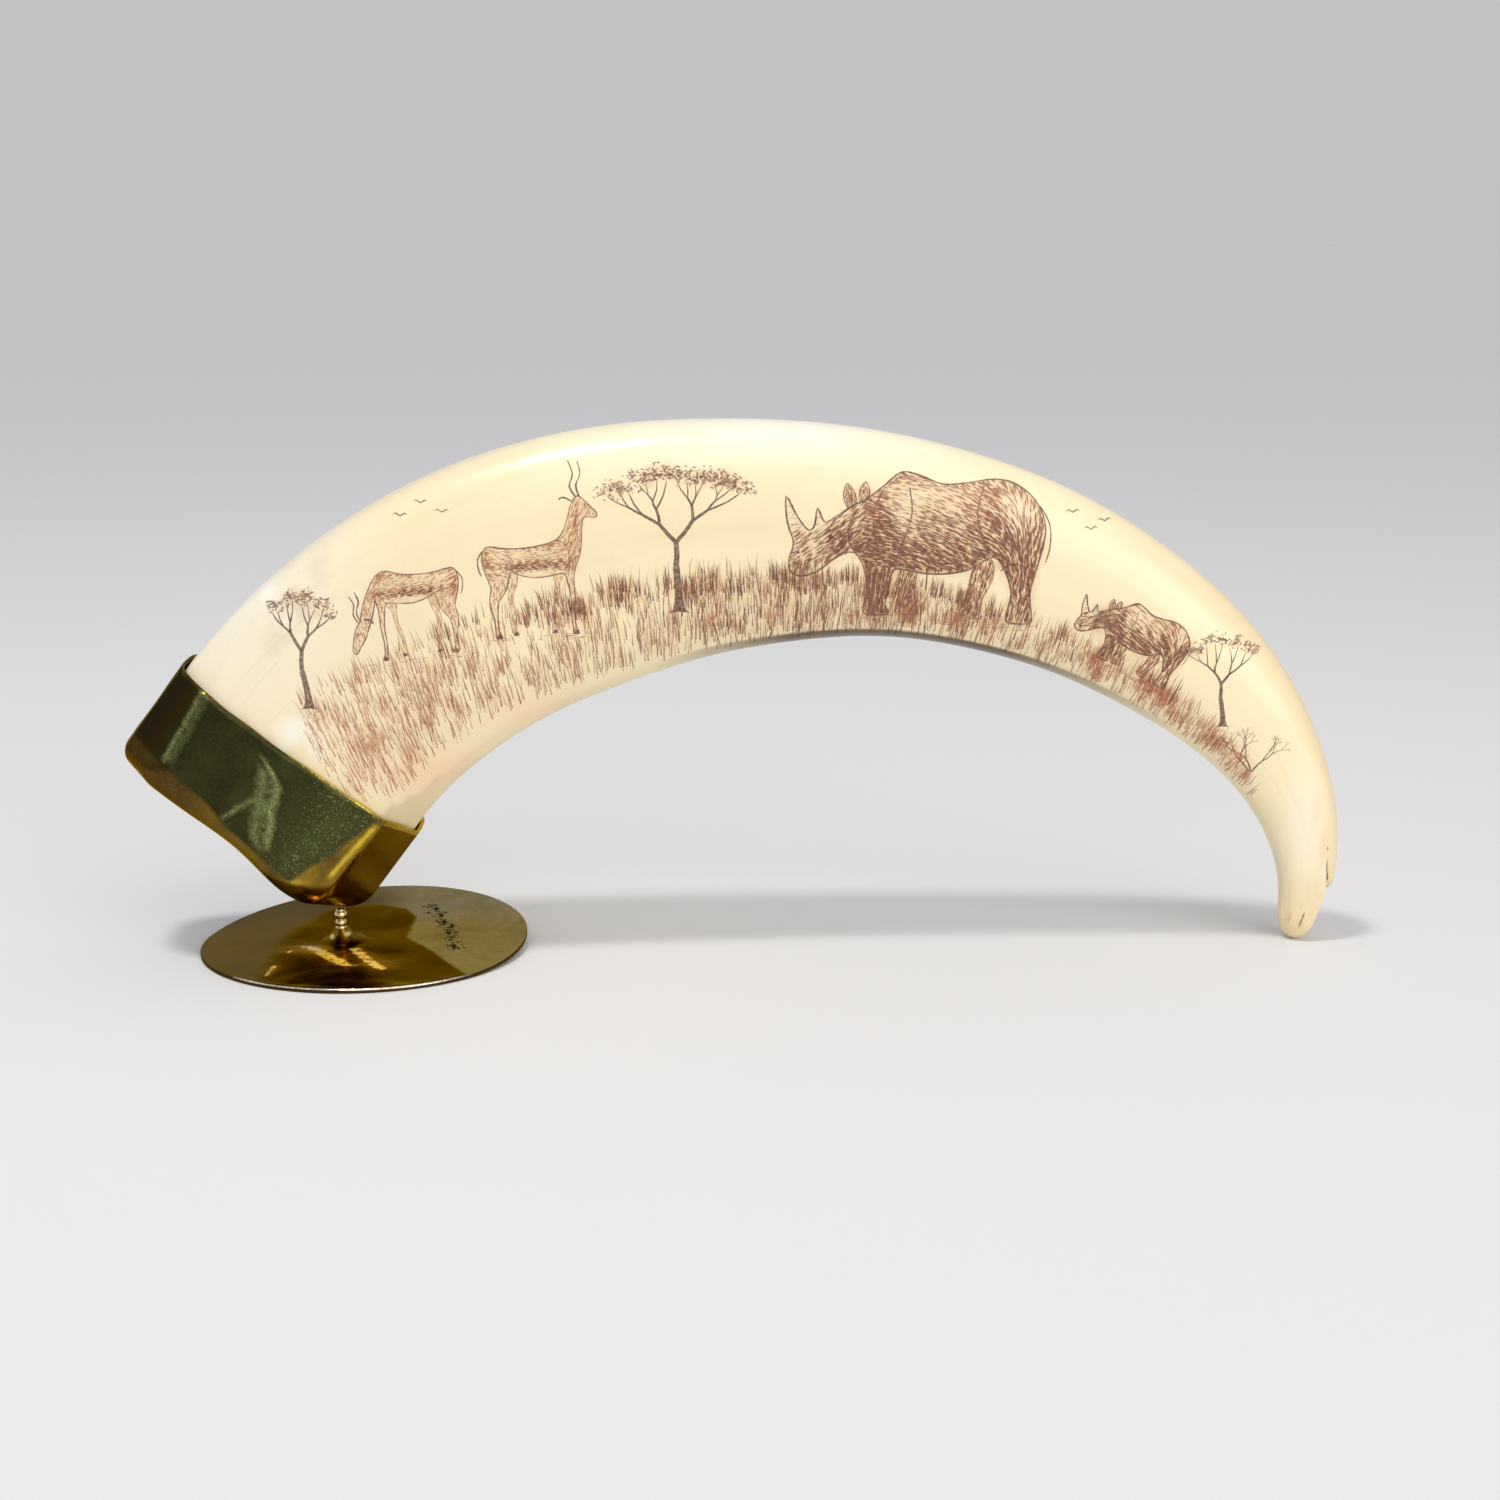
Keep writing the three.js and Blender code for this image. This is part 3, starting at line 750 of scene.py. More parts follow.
def cuts_on_skin():
    """The strokes as polygons of distance and turn, with their ink. Those past the edges are left out."""
    counts = [len(points) for points, _, _ in STROKES]
    found = on_skin(np.array([p for points, _, _ in STROKES for p in points]))
    cuts = []
    start = 0
    for (_, tone, rust), count in zip(STROKES, counts):
        places = found[start:start + count]
        start += count
        if np.abs(places[:, 1]).max() > EDGE_SHARE:
            continue
        flat = np.stack([places[:, 0], np.arcsin(places[:, 1]) * TURN_SCALE], 1)
        size = area(flat)
        if abs(size) > SMALLEST_CUT:
            cuts.append((flat if size > 0 else flat[::-1], tone, rust))
    return cuts


# The grid: rows along the root's rounding, the tusk and the tip, and columns behind and in front.
ROOT_ROWS = 5
TUSK_ROWS = 172
TIP_ROWS = 9
BACK_COLUMNS = 10
FRONT_COLUMNS = 37
# The finer grid over the groove, nudged so that no point of it falls on the other grid.
WORN_ROWS = np.arange(GROOVE_FROM + 4, GROOVE_TO + 3, 0.32)
WORN_COLUMNS = np.linspace(0.42, 1.1, 22)
WORN_NUDGE = 0.013


def grid_points(rows, columns):
    return np.stack(np.meshgrid(rows, columns * TURN_SCALE, indexing="ij"), -1).reshape(-1, 2)


def skin_grid():
    """Even points over the tusk, closer together round the tip, the groove and the front."""
    shoulder = -ROOT_INSERT + ROOT_ROUNDING
    rows = np.concatenate([
        shoulder - ROOT_ROUNDING * np.sin(np.linspace(pi / 2, 0.2, ROOT_ROWS)),
        np.linspace(shoulder, TUSK_LENGTH - TIP_ROUNDING, TUSK_ROWS),
        TUSK_LENGTH - TIP_ROUNDING * (1 - np.sin(np.linspace(0.15, pi / 2, TIP_ROWS))),
    ])
    quarter = pi / 2
    columns = np.concatenate([
        np.linspace(-2 * quarter, -quarter, BACK_COLUMNS)[:-1],
        np.linspace(-quarter, quarter, FRONT_COLUMNS),
        np.linspace(quarter, 2 * quarter, BACK_COLUMNS)[1:],
    ])
    return np.concatenate([grid_points(rows, columns), grid_points(WORN_ROWS, WORN_COLUMNS) + WORN_NUDGE])


# The cells in which ink is gathered for the haze: their size, how many, and the low corner.
HAZE_CELL = 0.9
HAZE_CELLS = (212, 96)
HAZE_CORNER = np.array([-95.0, 0.0])
LARGEST_SOAK = 0.4


def haze_under(places):
    """How much ink has soaked in at a place, by the area of ink near it and the washes over it."""
    drawn_on = np.zeros(HAZE_CELLS)
    for points, tone, _ in STROKES:
        points = np.array(points)
        i, j = ((points.mean(0) - HAZE_CORNER) / HAZE_CELL).astype(int)
        drawn_on[i, j] += min(abs(area(points)), LARGEST_SOAK) * tone
    for axis in (0, 1):
        drawn_on = (2 * drawn_on + np.roll(drawn_on, 1, axis) + np.roll(drawn_on, -1, axis)) / 4
    at = (places - HAZE_CORNER) / HAZE_CELL - 0.5
    i, j = np.floor(at).astype(int).T
    u, v = (at - np.floor(at)).T
    near = drawn_on[i, j] * (1 - u) * (1 - v) + drawn_on[i + 1, j] * u * (1 - v)
    near = near + drawn_on[i, j + 1] * (1 - u) * v + drawn_on[i + 1, j + 1] * u * v
    near /= HAZE_CELL ** 2
    for shape, darkness in WASHES:
        for k in np.where(inside(shape, places[:, 0], places[:, 1]))[0]:
            near[k] = max(near[k], 0.3 + 0.6 * darkness(*places[k]))
    return np.clip(near, 0, 1)


# The tusk's map. The front reaches this turn to both sides. A strip has a middle height and a height
# per radian of turn, and the front's second strip lies this much above its first.
MAP_EDGE = 0.008
FRONT_REACH = radians(100)
FRONT_STRIP = (0.22, 0.42 / radians(205))
SECOND_STRIP_UP = 0.445
BACK_STRIP = (0.945, 0.09 / radians(165))
# The hidden cap of the root only has a sliver in the map's corner.
CAP_CORNER = 0.99
CAP_SPREAD = np.array([0, 0.002, 0.001])


def unwrapped(distance, turn, middle_distance, middle_turn):
    """Map coordinates: the front in two long strips, one above the other, and the back in a thin one."""
    front = np.abs(middle_turn) < FRONT_REACH
    half = (TUSK_LENGTH + ROOT_INSERT) / 2
    second = middle_distance > half - ROOT_INSERT
    along_front = (distance + ROOT_INSERT - np.where(second, half, 0)) / (half + 3)
    along_back = (distance + ROOT_INSERT) / (2 * half)
    u = MAP_EDGE + np.where(front, along_front, along_back) * (1 - 2 * MAP_EDGE)
    behind = np.where(middle_turn > 0, turn, turn + 2 * pi) - pi
    up_front = FRONT_STRIP[0] + turn * FRONT_STRIP[1] + np.where(second, SECOND_STRIP_UP, 0)
    return u, np.where(front, up_front, BACK_STRIP[0] + behind * BACK_STRIP[1])


# How much darker the ink is where cuts cross, and how long the grain runs round the tusk.
CROSSING_INK = 0.08
GRAIN_RADIUS = 20


def tusk_mesh():
    """One closed mesh of the tusk, with every stroke cut out of the surface as faces of its own."""
    cuts = cuts_on_skin()
    grid = skin_grid()
    corners = [Vector(p) for p in np.concatenate([grid] + [places for places, _, _ in cuts])]
    loops = []
    start = len(grid)
    for places, _, _ in cuts:
        loops.append(list(range(start, start + len(places))))
        start += len(places)
    flat, _, triangles, _, _, sources = delaunay_2d_cdt(corners, [], loops, 0, 1e-6, True)
    flat = np.array([tuple(p) for p in flat])
    triangles = np.array(triangles)
    tones, rusts = np.zeros(len(triangles)), np.zeros(len(triangles))
    for k, covered in enumerate(sources):
        if covered:
            tones[k] = min(max(cuts[c][1] for c in covered) + CROSSING_INK * (len(covered) - 1), 1)
            rusts[k] = cuts[covered[-1]][2]
    distance, turn = flat[:, 0], flat[:, 1] / TURN_SCALE
    points = skin(distance, turn)
    normals = skin_normals(distance, turn)
    haze = np.where(np.cos(turn) > 0, haze_under(points[:, [0, 2]]), 0)
    _, first, merged = np.unique(np.round(points, 5), axis=0, return_index=True, return_inverse=True)
    faces = merged.reshape(-1)[triangles]
    kept = (faces[:, 0] != faces[:, 1]) & (faces[:, 1] != faces[:, 2]) & (faces[:, 2] != faces[:, 0])
    faces, triangles, tones, rusts = faces[kept], triangles[kept], tones[kept], rusts[kept]

    root = np.where(np.abs(distance[first] + ROOT_INSERT) < 1e-6)[0]
    root = root[np.argsort(turn[first][root])]
    count = len(first)
    cap = np.stack([np.full(len(root), count), np.roll(root, -1), root], 1)
    places = np.concatenate([points[first], [points[first][root].mean(0)]])
    heading = SPINE[2][0]
    outward = np.concatenate([normals[first], [[-cos(heading), 0, -sin(heading)]]])

    mesh = bpy.data.meshes.new("tusk_skin")
    mesh.from_pydata(places * MM, [], np.concatenate([faces, cap]).tolist())
    ink = np.zeros((len(faces) + len(cap), 3, 4), np.float32)
    ink[:len(faces), :, 0] = tones[:, None]
    ink[:len(faces), :, 1] = rusts[:, None]
    ink[:len(faces), :, 2] = haze[triangles]
    ink[:, :, 3] = 1
    mesh.attributes.new("ink", "FLOAT_COLOR", "CORNER").data.foreach_set("color", ink.ravel())
    grain = np.zeros((len(places), 3), np.float32)
    grain[:count] = np.stack([distance, np.sin(turn) * GRAIN_RADIUS, np.cos(turn) * GRAIN_RADIUS], 1)[first]
    mesh.attributes.new("grain", "FLOAT_VECTOR", "POINT").data.foreach_set("vector", grain.ravel())
    corner_distance, corner_turn = distance[triangles], turn[triangles]
    middles = [values.mean(1)[:, None] for values in (corner_distance, corner_turn)]
    u, v = unwrapped(corner_distance, corner_turn, *middles)
    uv = np.full((len(faces) + len(cap), 3, 2), CAP_CORNER, np.float32)
    uv[:len(faces)] = np.stack([u, v], -1)
    uv[len(faces):, :, 1] += CAP_SPREAD
    mesh.uv_layers.new(name="OFBake").data.foreach_set("uv", uv.ravel())
    mesh.shade_smooth()
    mesh.normals_split_custom_set_from_vertices(outward.tolist())
    mesh.update()
    return mesh


def select_only(*objects):
    bpy.ops.object.select_all(action="DESELECT")
    for obj in objects:
        obj.select_set(True)
        bpy.context.view_layer.objects.active = obj


def mode(name):
    bpy.ops.object.mode_set(mode=name)


def apply_modifier(obj, kind, **values):
    """Adds a modifier with its values and applies it."""
    select_only(obj)
    modifier = obj.modifiers.new(kind.lower(), kind)
    for key, value in values.items():
        setattr(modifier, key, value)
    bpy.ops.object.modifier_apply(modifier=modifier.name)


def settle(obj, name):
    """Names a finished piece and puts its place into its mesh."""
    select_only(obj)
    bpy.ops.object.transform_apply(location=True, rotation=True, scale=True)
    obj.name = name
    obj.data.name = name
    return obj


def draw_sheet(sides, rings, close_start):
    """Sheet metal drawn out of a circle, whose open edge is extruded to one ring of points after another."""
    select_only()
    bpy.ops.mesh.primitive_circle_add(vertices=sides, radius=MM)
    sheet = bpy.context.object
    for number, ring in enumerate(rings):
        if number:
            mode("EDIT")
            bpy.ops.mesh.extrude_region_move()
            mode("OBJECT")
        for vertex, place in zip([v for v in sheet.data.vertices if v.select], ring):
            vertex.co = place
    mode("EDIT")
    bpy.ops.mesh.extrude_region_move()
    bpy.ops.mesh.merge(type="CENTER")
    if close_start:
        bpy.ops.mesh.select_all(action="DESELECT")
        bpy.ops.mesh.select_non_manifold()
        bpy.ops.mesh.edge_face_add()
    bpy.ops.mesh.select_all(action="SELECT")
    bpy.ops.mesh.normals_make_consistent(inside=False)
    mode("OBJECT")
    bpy.ops.object.shade_smooth()
    return sheet


def push(obj, centre, reach, move):
    """Presses a soft dent or a swelling into a piece, fading out over its reach, in millimetres."""
    select_only(obj)
    middle = Vector(centre) * MM
    nearest = min(obj.data.vertices, key=lambda v: (v.co - middle).length).index
    mode("EDIT")
    bpy.ops.mesh.select_all(action="DESELECT")
    mode("OBJECT")
    obj.data.vertices[nearest].select = True
    mode("EDIT")
    bpy.ops.transform.translate(
        value=Vector(move) * MM, use_proportional_edit=True, proportional_edit_falloff="SMOOTH",
        proportional_size=reach * MM)
    mode("OBJECT")


SHEET_SIDES = 160
WALL_RINGS = 16
CORNER_RINGS = 11
FLOOR_RINGS = (0.82, 0.64, 0.46, 0.3, 0.16)
# Dents of the hand-worked cap, in its own frame: x towards the outer edge, y away from the engraved
# side and z down into the cap. Each has its place, its reach and how far it is pushed.
FERRULE_DENTS = (
    ((2.7, -11.3, 7.5), 6.5, (0, 0.3, 0)),
    ((-1.5, -11.3, 9), 5, (0, -0.2, 0)),
    ((9.5, -11, 8), 6, (0, 0.12, 0)),
    ((-9, -11, 7), 6, (0, 0.14, 0)),
    ((3, 11.3, 8), 9, (0, -0.3, 0)),
    ((-8, 11.3, 11), 7, (0, 0.2, 0)),
    ((19.5, 0, 8), 6, (-0.2, 0, 0)),
    ((0, 0, 16.4), 12, (0, 0, -0.5)),
)


def ferrule_point(turn, depth, margin):
    """A point of the cap's outer face, in its own frame, with the low swelling that it has in front."""
    across, back = section(np.float64(0), np.float64(turn), margin)
    spread = (across - SWELL_PLACE) / SWELL_REACH
    swell = exp(-spread * spread) * (depth / FERRULE_DEPTH) ** 2
    facing = min(max(-back / HALF_DEPTHS[0], 0), 1)
    return Vector((across, back - FERRULE_SWELL * swell * facing, depth + FERRULE_SAG * swell)) * MM


def build_ferrule():
    """The cap: a wall with a slightly uneven rim, a rounded lower edge and a sagging floor."""
    turns = [2 * pi * k / SHEET_SIDES for k in range(SHEET_SIDES)]
    full = FERRULE_CLEARANCE + FERRULE_WALL
    bend = (FERRULE_OUTER_EDGE - FERRULE_INNER_EDGE) / 2
    edges = [FERRULE_INNER_EDGE + bend * (1 + sin(turn)) for turn in turns]
    rims = [0.16 + 0.09 * sin(5 * turn + 1) + 0.07 * sin(13 * turn) for turn in turns]
    rings = []
    for share in np.linspace(0, 1, WALL_RINGS):
        depths = [rim + (FERRULE_DEPTH - edge - rim) * share for edge, rim in zip(edges, rims)]
        rings.append([ferrule_point(turn, depth, full) for turn, depth in zip(turns, depths)])
    for angle in np.linspace(0, pi / 2, CORNER_RINGS)[1:]:
        rings.append([
            ferrule_point(turn, FERRULE_DEPTH - edge * (1 - sin(angle)), full - edge * (1 - cos(angle)))
            for turn, edge in zip(turns, edges)])
    floor_edge = rings[-1]
    for share in FLOOR_RINGS:
        rings.append([Vector((point.x * share, point.y * share, point.z)) for point in floor_edge])
    cap = draw_sheet(SHEET_SIDES, rings, False)
    for centre, reach, move in FERRULE_DENTS:
        push(cap, centre, reach, move)
    apply_modifier(cap, "SOLIDIFY", thickness=FERRULE_WALL * MM, offset=-1)
    x, z, heading = (float(row[0]) for row in SPINE)
    cap.rotation_euler = (0, -pi / 2 - heading, 0)
    cap.location = (x * MM, 0, z * MM)
    return settle(cap, "brass_ferrule")


# The beads and their spread ends: a share of the post's height, a radius and how flat they are.
BEADS = ((0.96, 0.7, 0.5), (0.7, 0.92, 0.94), (0.27, 0.86, 0.94), (0.03, 0.85, 0.5))


def build_post():
    """Two beads of solder, run together where they touch and spread on the cap and on the foot."""
    low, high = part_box("post")
    middle = (low + high) / 2
    parts = []
    for share, radius, flat in BEADS:
        select_only()
        place = (middle.x, middle.y, low.z + (high.z - low.z) * share)
        bpy.ops.mesh.primitive_uv_sphere_add(
            segments=48, ring_count=24, radius=radius * MM, location=place, scale=(1, 1, flat))
        parts.append(bpy.context.object)
    select_only(*parts)
    bpy.ops.object.join()
    post = bpy.context.object
    select_only(post)
    bpy.ops.object.transform_apply(location=True, rotation=True, scale=True)
    apply_modifier(post, "REMESH", mode="VOXEL", voxel_size=0.05 * MM)
    apply_modifier(post, "SMOOTH", factor=0.5, iterations=4)
    bpy.ops.object.shade_smooth()
    return settle(post, "solder_beads")


# Soft bumps of the thin disc, which mirror the light in patches: place, reach and rise.
FOOT_BUMPS = (
    ((-9, -9, 1.5), 7, (0, 0, 0.25)),
    ((4, -10, 1.5), 6, (0, 0, -0.3)),
    ((11, -7, 1.5), 7, (0, 0, 0.3)),
    ((-14, 3, 1.4), 8, (0, 0, 0.2)),
    ((10, 8, 2.4), 8, (0, 0, -0.25)),
    ((-4, 13, 1.9), 7, (0, 0, 0.2)),
)


def foot_point(angle, radius, height):
    """A point of the disc, whose rings slide towards the neck and whose back is bent up."""
    pull = 1 - radius / FOOT_RADIUS
    x = radius * cos(angle) + NECK_OFF_CENTRE * pull
    y = radius * sin(angle) + NECK_SIDE * pull
    out = x * cos(FOOT_LIFT_HEADING) + y * sin(FOOT_LIFT_HEADING)
    share = max((out - FOOT_LIFT_START) / (FOOT_RADIUS - FOOT_LIFT_START), 0)
    fade = min(max((radius - NECK_RADIUS) / (NECK_BASE_RADIUS - NECK_RADIUS), 0), 1)
    lift = FOOT_LIFT * share ** FOOT_LIFT_CURVE * fade * fade * (3 - 2 * fade)
    return Vector((x, y, height + lift)) * MM


def dish(radius):
    share = min(radius / (FOOT_RADIUS - FOOT_RIM_FLAT), 1)
    return FOOT_DISH * (1 - share * share)


# The foot's rings: radii of its underside, radius and height of the cut rim, and how many further in.
UNDERSIDE_RADII = (1.5, 4, 7, 10, 13, 16, 19, 21.5, 22.6, 23.6)
RIM_PROFILE = (
    (24.0, 0), (FOOT_RADIUS, 0.12), (FOOT_RADIUS, FOOT_SHEET - 0.16), (24.08, FOOT_SHEET - 0.03))
TOP_EDGE = 23.8
TOP_RINGS = 34
NECK_RINGS = 15


def build_foot():
    """The foot: up from its underside, round the cut rim, in over the domed top and up the neck."""
    angles = [2 * pi * k / SHEET_SIDES for k in range(SHEET_SIDES)]
    profile = [(radius, dish(radius)) for radius in UNDERSIDE_RADII]
    profile += RIM_PROFILE
    for radius in np.linspace(TOP_EDGE, NECK_BASE_RADIUS, TOP_RINGS):
        profile.append((radius, dish(radius) + FOOT_SHEET))
    base = dish(NECK_BASE_RADIUS) + FOOT_SHEET
    top = FOOT_DISH + FOOT_SHEET + NECK_HEIGHT
    for share in np.linspace(0, 1, NECK_RINGS)[1:]:
        radius = NECK_BASE_RADIUS + (NECK_RADIUS - NECK_BASE_RADIUS) * share
        profile.append((radius, base + (top - base) * share ** NECK_FLARE))
    rings = [[foot_point(angle, radius, height) for angle in angles] for radius, height in profile]
    foot = draw_sheet(SHEET_SIDES, rings, True)
    for centre, reach, move in FOOT_BUMPS:
        push(foot, centre, reach, move)
    low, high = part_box("foot")
    foot.location = ((low.x + high.x) / 2, (low.y + high.y) / 2, 0)
    select_only(foot)
    bpy.ops.object.shade_smooth_by_angle(angle=radians(50))
    return settle(foot, "brass_foot")


class Value:
    """A node's output that can be reckoned with: each sum, product or span is a node of its own."""

    def __init__(self, graph, socket):
        self.graph = graph
        self.socket = socket

    def __add__(self, other):
        return self.graph.math("ADD", self, other)

    def __sub__(self, other):
        return self.graph.math("SUBTRACT", self, other)

    def __rsub__(self, other):
        return self.graph.math("SUBTRACT", other, self)

    def __mul__(self, other):
        return self.graph.math("MULTIPLY", self, other)

    def __or__(self, other):
        """The larger of two values, such as two masks."""
        return self.graph.math("MAXIMUM", self, other)

    def __abs__(self):
        return self.graph.math("ABSOLUTE", self, 0.0)

    def span(self, low, high, to_low=0.0, to_high=1.0):
        """The value carried over from a range to another one, and held at its ends."""
        ranges = {"From Min": low, "From Max": high, "To Min": to_low, "To Max": to_high}
        return self.graph.add("MapRange", {"Value": self, **ranges})

    def bent(self, marks):
        """The value carried over along a line of marks, each of which is a value and its result."""
        result = marks[0][1]
        for (low, start), (high, end) in zip(marks, marks[1:]):
            result = self.span(low, high, 0.0, end - start) + result
        return result

    def split(self, kind="XYZ", socket="Vector"):
        """The three parts of a place, or of a colour."""
        node = self.graph.node("ShaderNodeSeparate" + kind, {socket: self})
        return [Value(self.graph, part) for part in node.outputs]

    def mapped(self, scale=(1, 1, 1), turn=(0, 0, 0), move=(0, 0, 0)):
        return self.graph.add("Mapping", {"Vector": self, "Scale": scale, "Rotation": turn, "Location": move})

    def noise(self, scale, detail=3.0, rough=0.5, warp=0.0):
        inputs = {"Vector": self, "Scale": scale, "Detail": detail, "Roughness": rough, "Distortion": warp}
        return self.graph.add("TexNoise", inputs, "Fac")

    def patch(self, centre, reach, ragged=0.4, grain=0.5, soft=0.6):
        """A ragged soft patch of a place: 1 round the centre and 0 past its reach."""
        edge = {"Ragged": ragged, "Grain": grain, "Soft": soft}
        inputs = {"Vector": self, "Centre": centre, "Reach": reach, **edge}
        return self.graph.group(SOFT_PATCH, inputs)["Mask"]

    def specks(self, grain, amount, soft=0.08):
        """Scattered specks, thickest where the amount is high."""
        inputs = {"Vector": self, "Grain": grain, "Amount": amount, "Soft": soft}
        return self.graph.group(SPECKS, inputs)["Mask"]


class Graph:
    """A tree of shader nodes while it is being filled."""

    def __init__(self, tree):
        self.tree = tree

    def feed(self, node, inputs):
        """Each input is a plain number, vector or colour, or the Value that feeds it."""
        for key, value in inputs.items():
            if isinstance(value, Value):
                self.tree.links.new(value.socket, node.inputs[key])
            else:
                node.inputs[key].default_value = value

    def node(self, kind, inputs, **settings):
        node = self.tree.nodes.new(kind)
        number = len(self.tree.nodes)
        node.location = (180 * number, -40 * (number % 9))
        for key, value in settings.items():
            setattr(node, key, value)
        self.feed(node, inputs)
        return node

    def add(self, kind, inputs, output=0, **settings):
        """One output of a new node."""
        return Value(self, self.node("ShaderNode" + kind, inputs, **settings).outputs[output])

    def group(self, tree, inputs):
        """The outputs of a new node that uses a group."""
        node = self.node("ShaderNodeGroup", inputs, node_tree=tree)
        return {output.name: Value(self, output) for output in node.outputs}

    def place(self):
        """Object coordinates in millimetres."""
        return self.add("TexCoord", {}, "Object").mapped((1 / MM, 1 / MM, 1 / MM))

    def math(self, operation, first, second):
        return self.add("Math", {0: first, 1: second}, operation=operation)

    def mix(self, share, first, second, blend="MIX"):
        """Two colours mixed."""
        return self.add("Mix", {0: share, 6: first, 7: second}, 2, data_type="RGBA", blend_type=blend)

    def coats(self, colour, *coats):
        """A colour under coats: each has its share, its colour and how it blends, if not plainly."""
        for share, *coat in coats:
            colour = self.mix(share, colour, *coat)
        return colour


def new_group(name, inputs, outputs):
    """An empty node group: its graph, its inputs' values and its output node."""
    tree = bpy.data.node_groups.new(name, "ShaderNodeTree")
    for socket, kind, value in inputs:
        made = tree.interface.new_socket(name=socket, in_out="INPUT", socket_type="NodeSocket" + kind)
        if value is not None:
            made.default_value = value
    for socket, kind in outputs:
        tree.interface.new_socket(name=socket, in_out="OUTPUT", socket_type="NodeSocket" + kind)
    graph = Graph(tree)
    start = graph.node("NodeGroupInput", {}).outputs
    given = {socket: Value(graph, start[socket]) for socket, _, _ in inputs}
    return graph, given, graph.node("NodeGroupOutput", {})


def make_patch_group():
    """A ragged soft patch round a centre: 1 in the middle, 0 past its reach."""
    graph, given, result = new_group(
        "soft patch",
        (("Vector", "Vector", None), ("Centre", "Vector", None), ("Reach", "Vector", (5, 5, 5)),
         ("Ragged", "Float", 0.4), ("Grain", "Float", 0.5), ("Soft", "Float", 0.6)),
        (("Mask", "Float"),))
    offset = graph.add("VectorMath", {0: given["Vector"], 1: given["Centre"]}, operation="SUBTRACT")
    scaled = graph.add("VectorMath", {0: offset, 1: given["Reach"]}, operation="DIVIDE")
    size = graph.add("VectorMath", {0: scaled}, "Value", operation="LENGTH")
    shaken = (given["Vector"].noise(given["Grain"], 4, 0.6) - 0.5) * given["Ragged"] + size
    graph.feed(result, {"Mask": shaken.span(1.0, 1.0 - given["Soft"])})
    return graph.tree


def make_speck_group():
    """Scattered specks of uneven size, thickest where Amount is high."""
    graph, given, result = new_group(
        "specks",
        (("Vector", "Vector", None), ("Grain", "Float", 1.0), ("Amount", "Float", 0.3),
         ("Soft", "Float", 0.08)),
        (("Mask", "Float"),))
    level = given["Amount"] * -0.34 + 0.76
    mask = given["Vector"].noise(given["Grain"], 5, 0.62).span(level, level + given["Soft"])
    graph.feed(result, {"Mask": mask})
    return graph.tree


def make_sheet_group():
    """Hand-worked sheet: broad waves, hammer marks and rubbing scratches, as a normal and a roughness."""
    graph, given, result = new_group(
        "worked sheet",
        (("Vector", "Vector", None), ("Wave", "Float", 0.2), ("Grain", "Float", 2.0), ("Depth", "Float", 0.1),
         ("Polish", "Float", 0.15), ("Haze", "Float", 0.3)),
        (("Normal", "Vector"), ("Roughness", "Float")))
    place = given["Vector"]
    wave = place.noise(given["Wave"], 2, 0.4)
    grain = place.noise(given["Grain"], 4, 0.6)
    rubbed = place.mapped((0.6, 9.0, 9.0), (0, 0, 0.5)).noise(1.0, 3, 0.6)
    height = rubbed * 0.012 + (grain * 0.06 + wave)
    cloud = grain * rubbed.span(0.3, 0.7, 0.6, 1.2)
    graph.feed(result, {
        "Normal": graph.add("Bump", {"Height": height, "Distance": given["Depth"], "Strength": 1.0}),
        "Roughness": given["Haze"] * cloud + given["Polish"]})
    return graph.tree


SOFT_PATCH = make_patch_group()
SPECKS = make_speck_group()
WORKED_SHEET = make_sheet_group()


def trail(across, far, marks, wide, noise):
    """A ragged streak along a line of marks: 1 on the line and 0 past its half width."""
    away = abs(across - far.bent(marks)) + (noise - 0.5) * (wide * 1.6)
    start = far.span(marks[0][0] - 0.5, marks[0][0] + 0.7)
    end = far.span(marks[-1][0] + 0.5, marks[-1][0] - 0.7)
    return away.span(1.4 * wide, 0.0) * (start * end)


def new_material(name):
    """A material with its graph and its Principled shader."""
    material = bpy.data.materials.new(name)
    material.use_nodes = True
    graph = Graph(material.node_tree)
    return material, graph, material.node_tree.nodes["Principled BSDF"]


IVORY = (0.88, 0.75, 0.475, 1)
IVORY_WARM = (0.97, 0.835, 0.535, 1)
IVORY_COOL = (0.89, 0.835, 0.71, 1)
INK = (0.085, 0.032, 0.022, 1)
INK_RUST = (0.42, 0.115, 0.040, 1)
INK_SOAKED = (0.68, 0.35, 0.19, 1)
INK_WASHED = (0.48, 0.33, 0.28, 1)
HORN_YELLOW = (0.66, 0.46, 0.20, 1)
OLIVE_STAIN = (0.42, 0.36, 0.20, 1)
ORANGE_STAIN = (0.80, 0.46, 0.18, 1)
CHALK_AND_HIGHLIGHT = (0.97, 0.94, 0.87, 1)
PEACH = (0.96, 0.62, 0.38, 1)
FLECK_BROWN = (0.30, 0.20, 0.11, 1)
UNDER_SHADE_BROWN = (0.10, 0.055, 0.025, 1)
